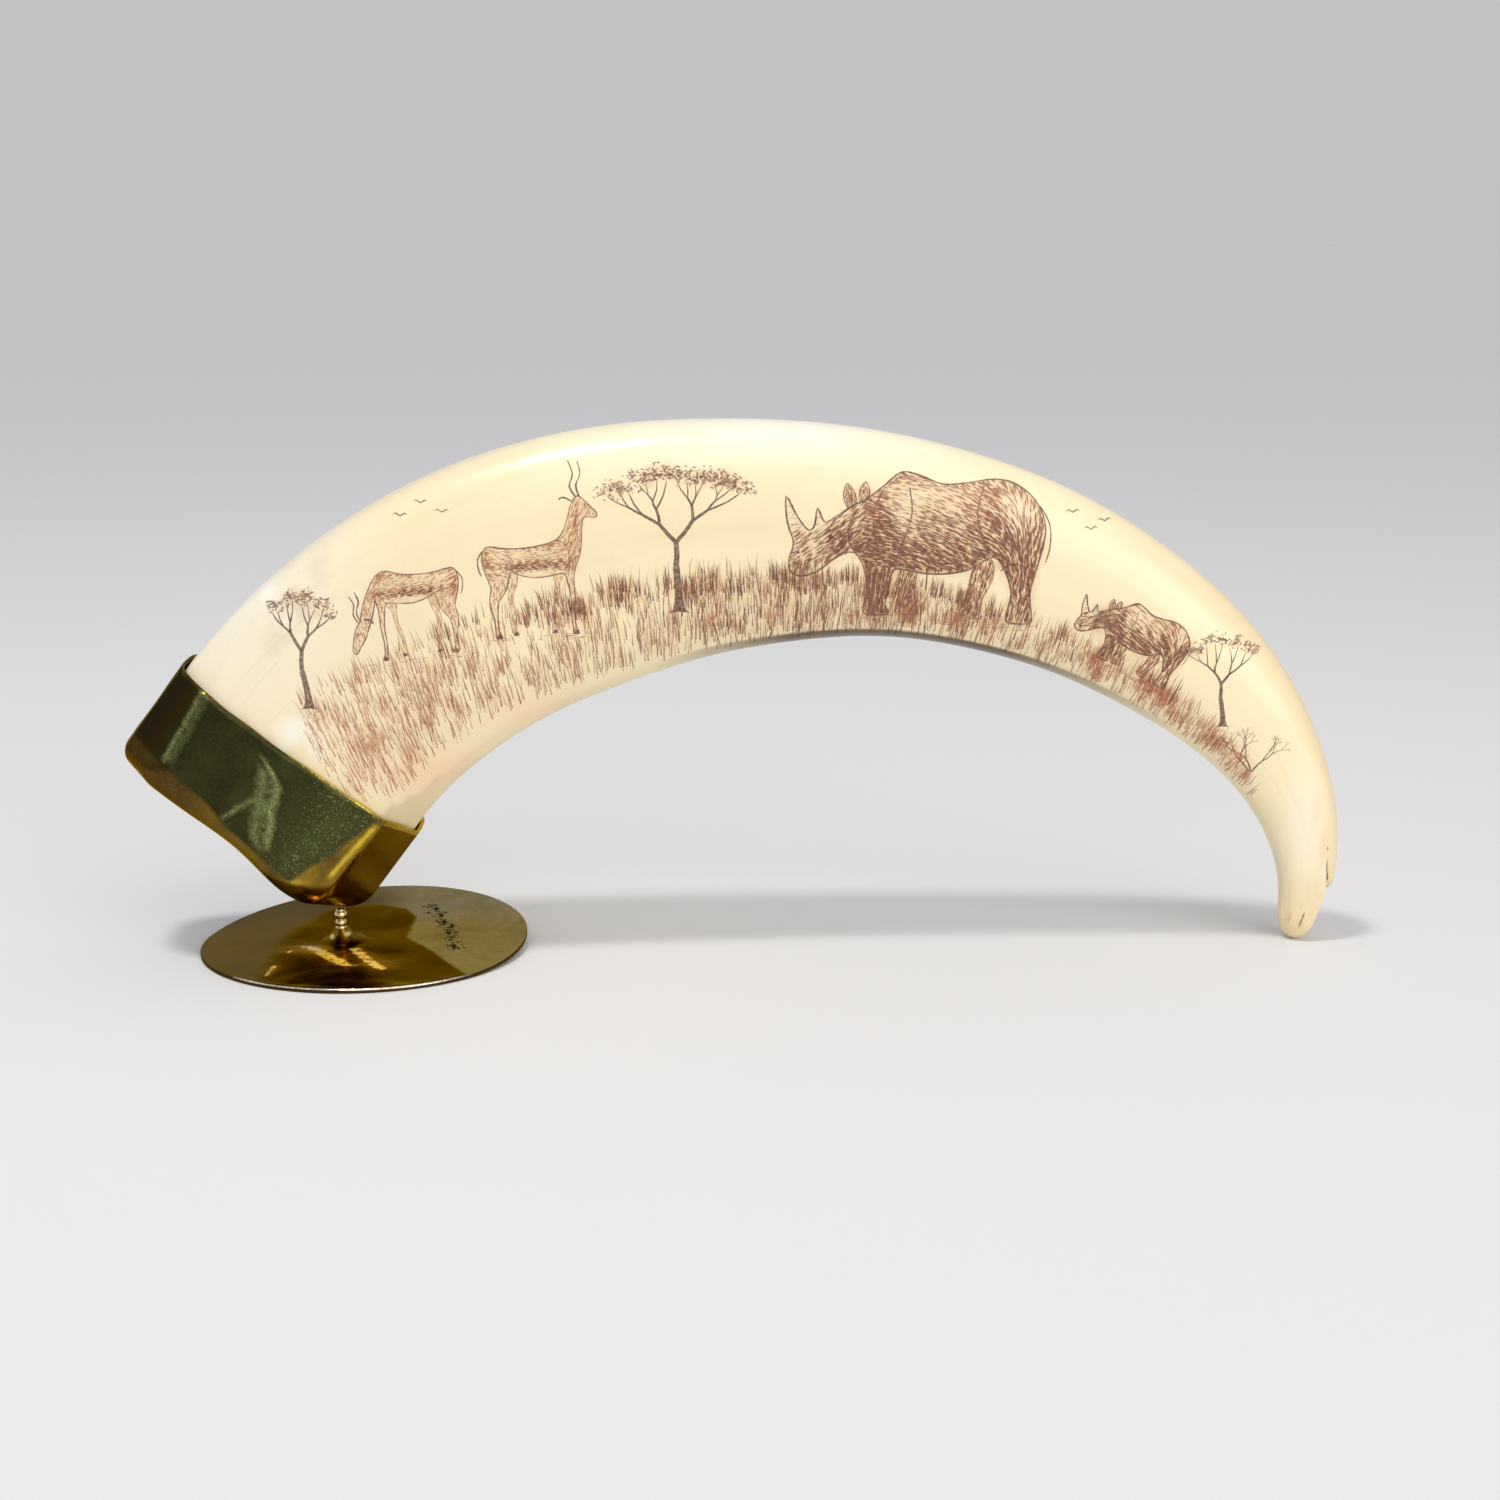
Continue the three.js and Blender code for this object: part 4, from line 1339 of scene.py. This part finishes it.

# Ragged stains on the tusk's engraved side, and a painted highlight of white glare near the cap: x, z, their
# reach, how ragged, how strong, and the colour.
STAINS_AND_HIGHLIGHT = (
    (-70.2, 53.6, 3.4, 3.6, 0.9, 0.34, IVORY_COOL),
    (-67.6, 54.2, 2.2, 2.4, 1.2, 0.5, CHALK_AND_HIGHLIGHT),
    (-65.2, 51.0, 2.2, 1.4, 1.2, 0.4, CHALK_AND_HIGHLIGHT),
    (-67.0, 59.0, 3.6, 2.6, 1.1, 0.34, HORN_YELLOW),
    (-62.6, 53.0, 3.4, 3.2, 1.3, 0.24, FLECK_BROWN),
    (-66.4, 48.6, 3.0, 3.4, 1.4, 0.16, FLECK_BROWN),
    (-60.0, 58.0, 2.6, 4.2, 1.2, 0.14, FLECK_BROWN),
    # These two white patches are a painted highlight: glare on the front near the cap.
    (-64.2, 35.0, 3.9, 3.3, 0.5, 0.85, CHALK_AND_HIGHLIGHT),
    (-61.0, 32.6, 2.4, 2.6, 0.5, 0.5, CHALK_AND_HIGHLIGHT),
    (-46.0, 29.0, 12.0, 5.0, 0.5, 0.62, PEACH),
    (-31.0, 37.6, 12.0, 4.4, 0.5, 0.34, PEACH),
    (51.2, 50.0, 1.5, 3.6, 0.9, 0.45, OLIVE_STAIN),
    (57.0, 44.0, 3.0, 4.0, 1.2, 0.22, HORN_YELLOW),
    (85.4, 21.0, 1.2, 3.6, 0.5, 0.28, ORANGE_STAIN),
    (86.9, 15.6, 1.2, 4.6, 0.5, 0.36, ORANGE_STAIN),
    (88.0, 8.0, 0.7, 0.8, 0.4, 0.9, CHALK_AND_HIGHLIGHT),
    (83.5, 18.0, 5.0, 12.0, 0.3, 0.32, CHALK_AND_HIGHLIGHT),
    (84.2, 3.0, 1.0, 1.6, 0.7, 0.3, HORN_YELLOW),
    (82.6, 4.0, 0.7, 1.6, 0.7, 0.35, HORN_YELLOW),
)


def ivory_material():
    """Polished tooth: cream, warmer towards the tip, with a fine grain, stains and the inked cuts, a painted
    highlight near the cap and along the top, and painted shade along its edges.
    """
    material, graph, shader = new_material("ivory")
    place = graph.place()
    tone, rust, soaked = graph.add("Attribute", {}, "Color", attribute_name="ink").split("Color", "Color")
    grain = graph.add("Attribute", {}, "Vector", attribute_name="grain")
    distance, outwards, frontwards = grain.split()
    x, y, _ = place.split()

    clouds = place.noise(0.055, 3, 0.55, 0.4)
    warm = x.span(-40, 85, 0.0, 0.5) + clouds.span(0.35, 0.7, -0.2, 0.3)
    cool = place.patch((-74, 0, 54), (27, 40, 30), 0.3, 0.12, 1.0)
    streaks = grain.mapped((0.035, 0.42, 0.42)).noise(1.0, 2, 0.5)
    mottled = place.noise(0.5, 5, 0.65)
    colour = graph.coats(
        IVORY,
        (warm | 0.0, IVORY_WARM),
        (cool * 0.85, IVORY_COOL),
        (streaks.span(0.52, 0.8, 0.0, 0.12), HORN_YELLOW),
        (mottled.span(0.52, 0.8, 0.0, 0.03), FLECK_BROWN))
    front = y.span(1.0, -2.0)
    for stain_x, stain_z, wide, tall, ragged, strength, stain in STAINS_AND_HIGHLIGHT:
        mask = place.patch((stain_x, -6, stain_z), (wide, 12, tall), ragged, 0.45, 0.8)
        colour = graph.mix(mask * strength * front, colour, stain)

    dots = place.specks(0.62, 0.12, 0.03) * y.span(-5.0, -8.0, 0.0, 0.5)
    # Painted shade: a brown line along the inner edge, where the underside turns into shade.
    under = outwards.span(-17.3, -17.9) * frontwards.span(-4.0, 0.0)
    under = under * (distance.span(56, 80, 0.0, 0.95) * distance.span(150, 116))
    # Painted shade: warmer and darker along the outer edge towards the tip and at the tip's end, where the
    # surface turns away from the light.
    painted_edge_shade = outwards.span(11.0, 19.0) * distance.span(112, 150, 0.0, 0.42)
    painted_edge_shade = painted_edge_shade | distance.span(182, 191, 0.0, 0.34)
    # A painted highlight: a whiter band along the top edge.
    pale = distance.span(46, 76, 0.0, 0.5) * distance.span(108, 84) * outwards.span(11.5, 17.0)
    soaked = soaked * place.noise(1.3, 3, 0.6).span(0.3, 0.7, 0.5, 1.4)
    inked = tone * place.noise(2.2, 2, 0.5).span(0.25, 0.6, 0.72, 1.0)
    colour = graph.coats(
        colour,
        (dots, FLECK_BROWN),
        (under, UNDER_SHADE_BROWN),
        (painted_edge_shade, HORN_YELLOW),
        (pale, CHALK_AND_HIGHLIGHT),
        (soaked.span(0.16, 0.95, 0.0, 0.66), INK_SOAKED, "MULTIPLY"),
        (soaked.span(0.66, 1.2, 0.0, 0.6), INK_WASHED, "MULTIPLY"),
        (inked, graph.mix(rust, INK, INK_RUST)))

    graph.feed(shader, {
        "Base Color": colour,
        "Roughness": inked * 0.25 + clouds.span(0.35, 0.7, 0.27, 0.31),
        "Normal": graph.add("Bump", {"Height": streaks, "Distance": 0.00004, "Strength": 0.2}),
        "IOR": 1.54,
        "Subsurface Weight": 0.12,
        "Subsurface Radius": (1.0, 0.6, 0.3),
        "Subsurface Scale": 0.0012})
    return material


BRASS = (0.34, 0.205, 0.022, 1)
BRASS_HIGHLIGHT = (1.0, 0.70, 0.06, 1)
BRASS_WORN = (0.52, 0.34, 0.05, 1)
BRASS_EDGE = (0.72, 0.57, 0.32, 1)
BRASS_DARK = (0.12, 0.078, 0.018, 1)
BRASS_BROWN = (0.07, 0.040, 0.014, 1)
END_BROWN = (0.050, 0.020, 0.007, 1)
PATINA = (0.026, 0.030, 0.012, 1)
PATINA_GREEN = (0.13, 0.15, 0.05, 1)
SHEEN_AND_SPECK_GREEN = (0.42, 0.46, 0.17, 1)
TARNISH_AND_SHADE = (0.030, 0.024, 0.012, 1)

# Painted highlights on the cap, in its own frame: marks of depth and place across, half a width and a
# strength. The first are painted sheens, reflections of the light on the dark bloom; the others are painted
# gleams on the gold.
PAINTED_SHEENS = (
    (((-0.4, 16.3), (6.0, 15.5), (11.9, 14.9)), 0.42, 1.0),
    (((-0.2, 15.4), (6.0, 14.7), (11.7, 14.2)), 0.8, 0.45),
    (((2.7, 3.6), (3.6, 1.6), (4.7, -0.2), (6.5, -1.0), (9.4, -1.5)), 0.85, 1.0),
    (((3.8, 2.8), (7.0, 1.0), (10.6, -0.7), (12.9, -1.7), (14.0, -3.4)), 1.1, 0.6),
    (((8.6, -2.1), (10.6, -2.9), (13.4, -4.2)), 0.8, 0.95),
    (((8.3, 1.3), (13.4, 3.4)), 0.5, 0.6),
)
FERRULE_PAINTED_GLEAMS = (
    (((1.6, -15.0), (6.0, -14.5), (11.6, -14.0)), 0.4, 0.66),
    (((14.4, -11.0), (16.0, -9.4)), 0.7, 0.5),
)
# Where the cap's gold begins: its depth for a place across, and its place across for a depth.
GOLD_BELOW = ((-9.8, 15.0), (-6.9, 15.0), (-1.2, 14.5), (2.7, 13.8), (7.4, 12.5), (14.5, 11.9))
GOLD_INSIDE = ((0.6, -14.6), (8.8, -11.9), (15.1, -9.4))


def ferrule_material():
    """Brass with an olive bloom on its flat faces, rubbed to gold on the rim, the corners and below, with
    painted sheens, gleams and a rim highlight, and painted shade on its outer end.
    """
    material, graph, shader = new_material("ferrule brass")
    place = graph.place()
    root_x, root_z, heading = (float(row[0]) for row in SPINE)
    turn = pi / 2 + heading
    shift = (-root_x * cos(turn) - root_z * sin(turn), 0, root_x * sin(turn) - root_z * cos(turn))
    own = place.mapped(turn=(0, turn, 0), move=shift)
    across, back, depth = own.split()

    clouds = own.noise(0.16, 4, 0.6, 0.5)
    fine = own.noise(2.6, 4, 0.7)
    rubbed = own.noise(1.1, 3, 0.6)
    hammered = own.noise(4.2, 3, 0.7)
    colour = graph.coats(
        PATINA,
        (clouds.span(0.42, 0.8, 0.0, 0.28), PATINA_GREEN),
        (across.span(3.0, -7.0, 0.0, 0.2), PATINA_GREEN),
        (fine.span(0.4, 0.75, 0.0, 0.35), BRASS_DARK))
    front = back.span(2.0, -2.0)
    # Painted reflections: pale sheens of light on the bloom, from its dents and its outer corner.
    for marks, wide, strength in PAINTED_SHEENS:
        mask = trail(across, depth, marks, wide, rubbed) * front
        mask = mask * hammered.span(0.4, 0.62, 0.22 * strength, strength)
        colour = graph.mix(mask, colour, SHEEN_AND_SPECK_GREEN)
    outer_end = (clouds * 1.5 + across).span(18.6, 19.8)
    speckled = own.specks(3.4, across.span(4, -8, 0.15, 0.62), 0.1)
    # Painted shade: the outer end, which turns away from the light, is darker brown. The specks are the
    # bloom's own.
    colour = graph.coats(
        colour,
        (across.span(15.6, 17.6, 0.0, 0.75), END_BROWN),
        (outer_end * 0.75, TARNISH_AND_SHADE),
        (speckled * 0.42, SHEEN_AND_SPECK_GREEN))

    below = (depth - (clouds.span(0.3, 0.7) * 0.5 + across.bent(GOLD_BELOW))).span(-0.25, 0.35)
    inside_edge = (depth.bent(GOLD_INSIDE) - (clouds + across)).span(-0.5, 0.1)
    rim = (fine * 0.6 + depth).span(0.66, 0.46)
    gold = below | inside_edge | rim
    old_gold = graph.coats(
        BRASS,
        (clouds.span(0.35, 0.65), BRASS_DARK),
        (across.span(-15.5, -18.5, 0.0, 0.7), BRASS_WORN),
        (across.span(-9.0, -2.0, 0.0, 0.75), BRASS_DARK),
        (across.span(4.0, 10.0, 0.0, 0.8), BRASS_BROWN),
        (fine.span(0.45, 0.8, 0.0, 0.35), BRASS))
    # Painted highlights: gleams on the gold, and a brighter highlight along the front of the rim.
    for marks, wide, strength in FERRULE_PAINTED_GLEAMS:
        painted_gleam = trail(across, depth, marks, wide, rubbed) * strength
        old_gold = graph.mix(painted_gleam, old_gold, BRASS_HIGHLIGHT)
    old_gold = graph.mix(rim * across.span(8.0, -4.0, 0.1, 0.75), old_gold, BRASS_HIGHLIGHT)
    colour = graph.coats(colour, (gold, old_gold), (own.specks(1.4, 0.28, 0.05) * 0.7, TARNISH_AND_SHADE))

    sheet = graph.group(WORKED_SHEET, {
        "Vector": own, "Wave": 0.11, "Grain": 1.7, "Depth": 0.0005, "Polish": 0.12, "Haze": 0.12})
    graph.feed(shader, {
        "Base Color": colour,
        "Roughness": (1.0 - gold) * 0.14 + sheet["Roughness"],
        "Normal": sheet["Normal"],
        "Metallic": 1.0,
        "Specular Tint": BRASS_EDGE})
    return material


# The foot's hazy rim, on its left and right, in front and behind, painted darker on the left and paler on the
# right as shade and light, with clouds and a painted shadow of the cap in it.
HAZE_LEFT = (0.20, 0.15, 0.085, 1)
HAZE_RIGHT = (0.45, 0.36, 0.14, 1)
HAZE_BACK_LEFT = (0.14, 0.115, 0.09, 1)
HAZE_BACK_RIGHT = (0.38, 0.34, 0.22, 1)
HAZE_CLOUD = (0.20, 0.15, 0.06, 1)
HAZE_SHADOW = (0.05, 0.045, 0.05, 1)
# Its rubbed middle, coloured with a painted reflection of the room that is dark on the left, with patches and
# painted gleams.
GOLD_LEFT = (0.03, 0.018, 0.008, 1)
GOLD_RIGHT = (0.115, 0.058, 0.018, 1)
GOLD_CLOUD = (0.085, 0.042, 0.012, 1)
GOLD_BROWN = (0.05, 0.026, 0.01, 1)
GOLD_PATCH = (0.13, 0.07, 0.02, 1)
GOLD_FRONT = (0.34, 0.27, 0.08, 1)
GLEAM_HALO = (0.60, 0.26, 0.02, 1)
GLEAM_HIGHLIGHT = (1.0, 0.62, 0.05, 1)
GLINT_HIGHLIGHT = (1.0, 0.86, 0.4, 1)
BURR_HIGHLIGHT = (1.0, 0.92, 0.78, 1)
SPECK_BLACK = (0.012, 0.008, 0.004, 1)

# Lines on the foot, from the middle of the disc: the left and right edge of the rubbed middle as
# marks of y and x, the paler line along its front and the specks of tarnish as marks of x and y.
RUBBED_LEFT = ((-24.7, -12.3), (-4.5, -12.7), (6.0, -10.6), (11.7, -7.7), (13.6, -3.0))
RUBBED_RIGHT = ((-18.0, 16.8), (-2.3, 6.4), (8.1, 6.8), (11.4, 5.0), (13.6, 1.6))
FRONT_LINE = ((-8.5, -22.6), (-2.0, -20.6), (3.5, -20.4), (9.5, -22.0))
SPECK_LINE = ((-8.5, 14.2), (-1.0, 13.0), (5.0, 11.2), (14.0, 8.6))
# Its painted gleams, highlights in the polished middle: marks of y and x, half a width and a strength.
FOOT_PAINTED_GLEAMS = (
    (((-14.8, -0.4), (-11.6, -3.2), (-9.0, -5.2), (-5.2, -8.0)), 1.6, 1.0),
    (((-16.3, 4.4), (-12.0, 1.9), (-6.2, -1.1)), 1.2, 1.0),
    (((-18.0, -12.2), (-13.6, -11.4)), 0.5, 0.8),
    (((-8.8, -10.2), (-7.4, -10.0)), 0.5, 0.8),
)
# Painted highlights: glints on the neck, by their place beside it and their height.
NECK_PAINTED_GLINTS = ((-1.3, 2.5), (1.0, 2.9))


def foot_material():
    """Thin brass: rubbed gold round the neck, an olive haze towards the rim, and black specks, with a painted
    reflection in the middle, painted shade and light in the haze, and painted gleams, glints and a rim
    highlight.
    """
    material, graph, shader = new_material("foot brass")
    place = graph.place()
    low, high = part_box("foot")
    middle = (low + high) / 2 / MM
    own = place.mapped(move=(-middle.x, -middle.y, 0))
    x, y, height = own.split()
    radius = graph.add("CombineXYZ", {"X": x, "Y": y})
    radius = graph.add("VectorMath", {0: radius}, "Value", operation="LENGTH")

    clouds = own.noise(0.13, 4, 0.6, 0.8)
    fine = own.noise(1.8, 5, 0.65)
    rubs = own.noise(1.1, 3, 0.6)
    waver = own.noise(0.5, 3, 0.6) * 2.4 - 1.2
    left = (x - y.bent(RUBBED_LEFT) + waver).span(-1.2, 1.6)
    right = (waver * 0.5 + (y.bent(RUBBED_RIGHT) - x)).span(-0.4, 0.3)
    polished = left * right * y.span(14.4, 13.2)
    on_right = (clouds * 6.0 + x).span(-1.0, 9.0)
    # Painted shade and light: the haze is darker on the left and paler on the right, with a painted shadow of
    # the cap behind the neck.
    colour = graph.coats(
        graph.mix(on_right, HAZE_LEFT, HAZE_RIGHT),
        ((clouds * 6.0 + y).span(5.0, 15.0), graph.mix(on_right, HAZE_BACK_LEFT, HAZE_BACK_RIGHT)),
        (clouds.span(0.45, 0.75, 0.0, 0.5), HAZE_CLOUD),
        (own.patch((-3.5, 16, 1), (8.5, 6, 30), 0.4, 0.3, 0.8) * 0.7, HAZE_SHADOW),
        (fine.span(0.4, 0.8, 0.0, 0.3), BRASS_DARK))
    # A painted reflection of the room in the polished middle.
    gold = graph.coats(
        GOLD_LEFT,
        (x.span(-8.0, 3.0), GOLD_RIGHT),
        (clouds.span(0.4, 0.62), GOLD_CLOUD),
        (own.patch((2, 6, 1), (8, 6.5, 30), 0.5, 0.25, 0.5) * 0.75, GOLD_BROWN),
        (own.patch((8.5, -8.5, 1), (6.5, 5, 30), 0.6, 0.25, 0.9) * 0.5, GOLD_PATCH),
        (trail(y, x, FRONT_LINE, 0.9, fine) * 0.6, GOLD_FRONT))
    # Painted highlights: gleams with a halo round them. Their cores also lower the metallic, so the lamps
    # light them.
    painted_glare = 0.0
    for marks, wide, strength in FOOT_PAINTED_GLEAMS:
        gleam_halo = trail(x, y, marks, wide * 2.2, fine) * (0.7 * strength)
        core = trail(x, y, marks, wide * 0.8, fine) * strength
        core = (core * rubs.span(0.35, 0.6, 0.25, 1.5)).span(0.15, 0.7)
        gold = graph.coats(gold, (gleam_halo, GLEAM_HALO), (core, GLEAM_HIGHLIGHT))
        painted_glare = core | painted_glare

    speckled = trail(x, y, SPECK_LINE, 2.4, rubs)
    tarnish = own.specks(1.5, speckled.span(0.0, 0.9, 0.0, 0.86), 0.04) * speckled.span(0.0, 0.2, 0.3, 1.0)
    # A painted highlight: a thin bright line on the front of the cut rim, where its edge catches the light.
    burr_highlight = height.span(0.44, 0.52) * y.span(-17.0, -19.0)
    burr_highlight = burr_highlight * radius.span(FOOT_RADIUS - 0.16, FOOT_RADIUS - 0.1) * fine.span(0.35, 0.6, 0.5, 1.0)
    neck = own.patch((NECK_OFF_CENTRE, NECK_SIDE, 3), (3.4, 3.4, 30), 0.1, 0.4, 0.6)
    # Over the haze: the middle, black specks, the cut rim painted dark brown as shade, the painted highlight
    # on the rim and the neck.
    colour = graph.coats(
        colour,
        (polished, gold),
        (tarnish * 0.92, SPECK_BLACK),
        (radius.span(FOOT_RADIUS - 0.1, FOOT_RADIUS - 0.02), BRASS_BROWN),
        (burr_highlight, BURR_HIGHLIGHT),
        (neck * 0.6, BRASS))
    # Painted highlights on the neck.
    for beside, up in NECK_PAINTED_GLINTS:
        painted_glint = own.patch((NECK_OFF_CENTRE + beside, NECK_SIDE - 0.8, up), (0.6, 1.4, 0.45), 0.5, 1.2, 0.8)
        colour = graph.mix(painted_glint, colour, GLINT_HIGHLIGHT)

    sheet = graph.group(WORKED_SHEET, {
        "Vector": own, "Wave": 0.10, "Grain": 0.9, "Depth": 0.0007, "Polish": 0.10, "Haze": 0.10})
    graph.feed(shader, {
        "Base Color": colour,
        "Roughness": tarnish * 0.4 + ((1.0 - (polished | neck)) * 0.24 + sheet["Roughness"]),
        "Metallic": painted_glare * polished * -0.8 + 1.0,
        "Normal": sheet["Normal"],
        "Specular Tint": BRASS_EDGE})
    return material


def solder_material():
    """Bright silvery gold, a little dull where the beads meet."""
    material, graph, shader = new_material("solder")
    place = graph.place()
    cloud = place.noise(1.6, 3, 0.6)
    graph.feed(shader, {
        "Base Color": graph.mix(cloud, (0.80, 0.66, 0.38, 1), (0.62, 0.50, 0.26, 1)),
        "Roughness": cloud.span(0.3, 0.7, 0.14, 0.34),
        "Normal": graph.add("Bump", {"Height": cloud, "Distance": 0.00008, "Strength": 0.6}),
        "Metallic": 1.0})
    return material


def dress(obj, material, node):
    obj.data.materials.clear()
    obj.data.materials.append(material)
    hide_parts(node)
    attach(obj, BODY)


tusk = bpy.data.objects.new("tusk_skin", tusk_mesh())
bpy.context.scene.collection.objects.link(tusk)
dress(tusk, ivory_material(), "tusk")
dress(build_ferrule(), ferrule_material(), "ferrule")
dress(build_post(), solder_material(), "post")
dress(build_foot(), foot_material(), "foot")


FLOOR_RADIUS = 14
FLOOR_DROP = 0.02 * MM


def lay_floor():
    """A wide pale floor, a hair under the ornament."""
    select_only()
    bpy.ops.mesh.primitive_circle_add(
        vertices=96, radius=FLOOR_RADIUS, fill_type="NGON", location=(0, 0, -FLOOR_DROP))
    ground = bpy.context.object
    ground.name = "floor"
    material, graph, shader = new_material("floor")
    graph.feed(shader, {
        "Base Color": (0.763, 0.752, 0.740, 1), "Roughness": 0.8, "Specular IOR Level": 0.2})
    ground.data.materials.append(material)


def add_light(name, kind, place, target, power, colour):
    """A lamp that faces its target."""
    light = bpy.data.lights.new(name, kind)
    light.energy = power
    light.color = colour
    lamp = bpy.data.objects.new(name, light)
    bpy.context.scene.collection.objects.link(lamp)
    lamp.location = place
    lamp.rotation_euler = (Vector(target) - Vector(place)).to_track_quat("-Z", "Y").to_euler()
    return light


def softbox(name, place, target, wide, tall, power, colour):
    """A rectangular studio light."""
    light = add_light(name, "AREA", place, target, power, colour)
    light.shape = "RECTANGLE"
    light.size = wide
    light.size_y = tall


ROOM_AHEAD = (0.535, 0.532, 0.542, 1)
ROOM_BEHIND = (0.36, 0.35, 0.34, 1)
ROOM_ABOVE = (0.56, 0.58, 0.62, 1)


def build_room():
    """A plain pale studio room, a little darker behind the camera, which the brass mirrors."""
    world = bpy.data.worlds.new("studio")
    bpy.context.scene.world = world
    world.use_nodes = True
    graph = Graph(world.node_tree)
    _, ahead, up = graph.add("TexCoord", {}, "Generated").split()
    level = graph.mix(ahead.span(0.2, -0.8), ROOM_AHEAD, ROOM_BEHIND)
    colour = graph.mix(up.span(0.0, 0.8), level, ROOM_ABOVE)
    graph.feed(world.node_tree.nodes["Background"], {"Color": colour, "Strength": 1.0})


lay_floor()
build_room()
MIDDLE = (0.0, 0.0, 0.035)
sun = add_light("daylight", "SUN", (0.36, -0.92, 0.56), MIDDLE, power=1.04, colour=(1.0, 0.975, 0.94))
sun.angle = radians(60)
softbox("window", (-0.16, -0.16, 0.70), MIDDLE, 0.10, 0.08, power=1.9, colour=(1.0, 0.99, 0.98))
softbox("fill", (0.34, -0.34, 0.12), (0.08, 0, 0.02), 0.3, 0.3, power=0.36, colour=(1.0, 0.99, 0.97))
bpy.context.scene.view_settings.view_transform = "Standard"

camera = bpy.data.objects.new("camera", bpy.data.cameras.new("camera"))
bpy.context.scene.collection.objects.link(camera)
bpy.context.scene.camera = camera
camera.data.sensor_width = 36
camera.data.lens = 60.8
camera.data.clip_start = 0.01
camera.location = (-0.01081, -0.36785, 0.10585)
camera.rotation_euler = (radians(78.3), 0, radians(-1.9))
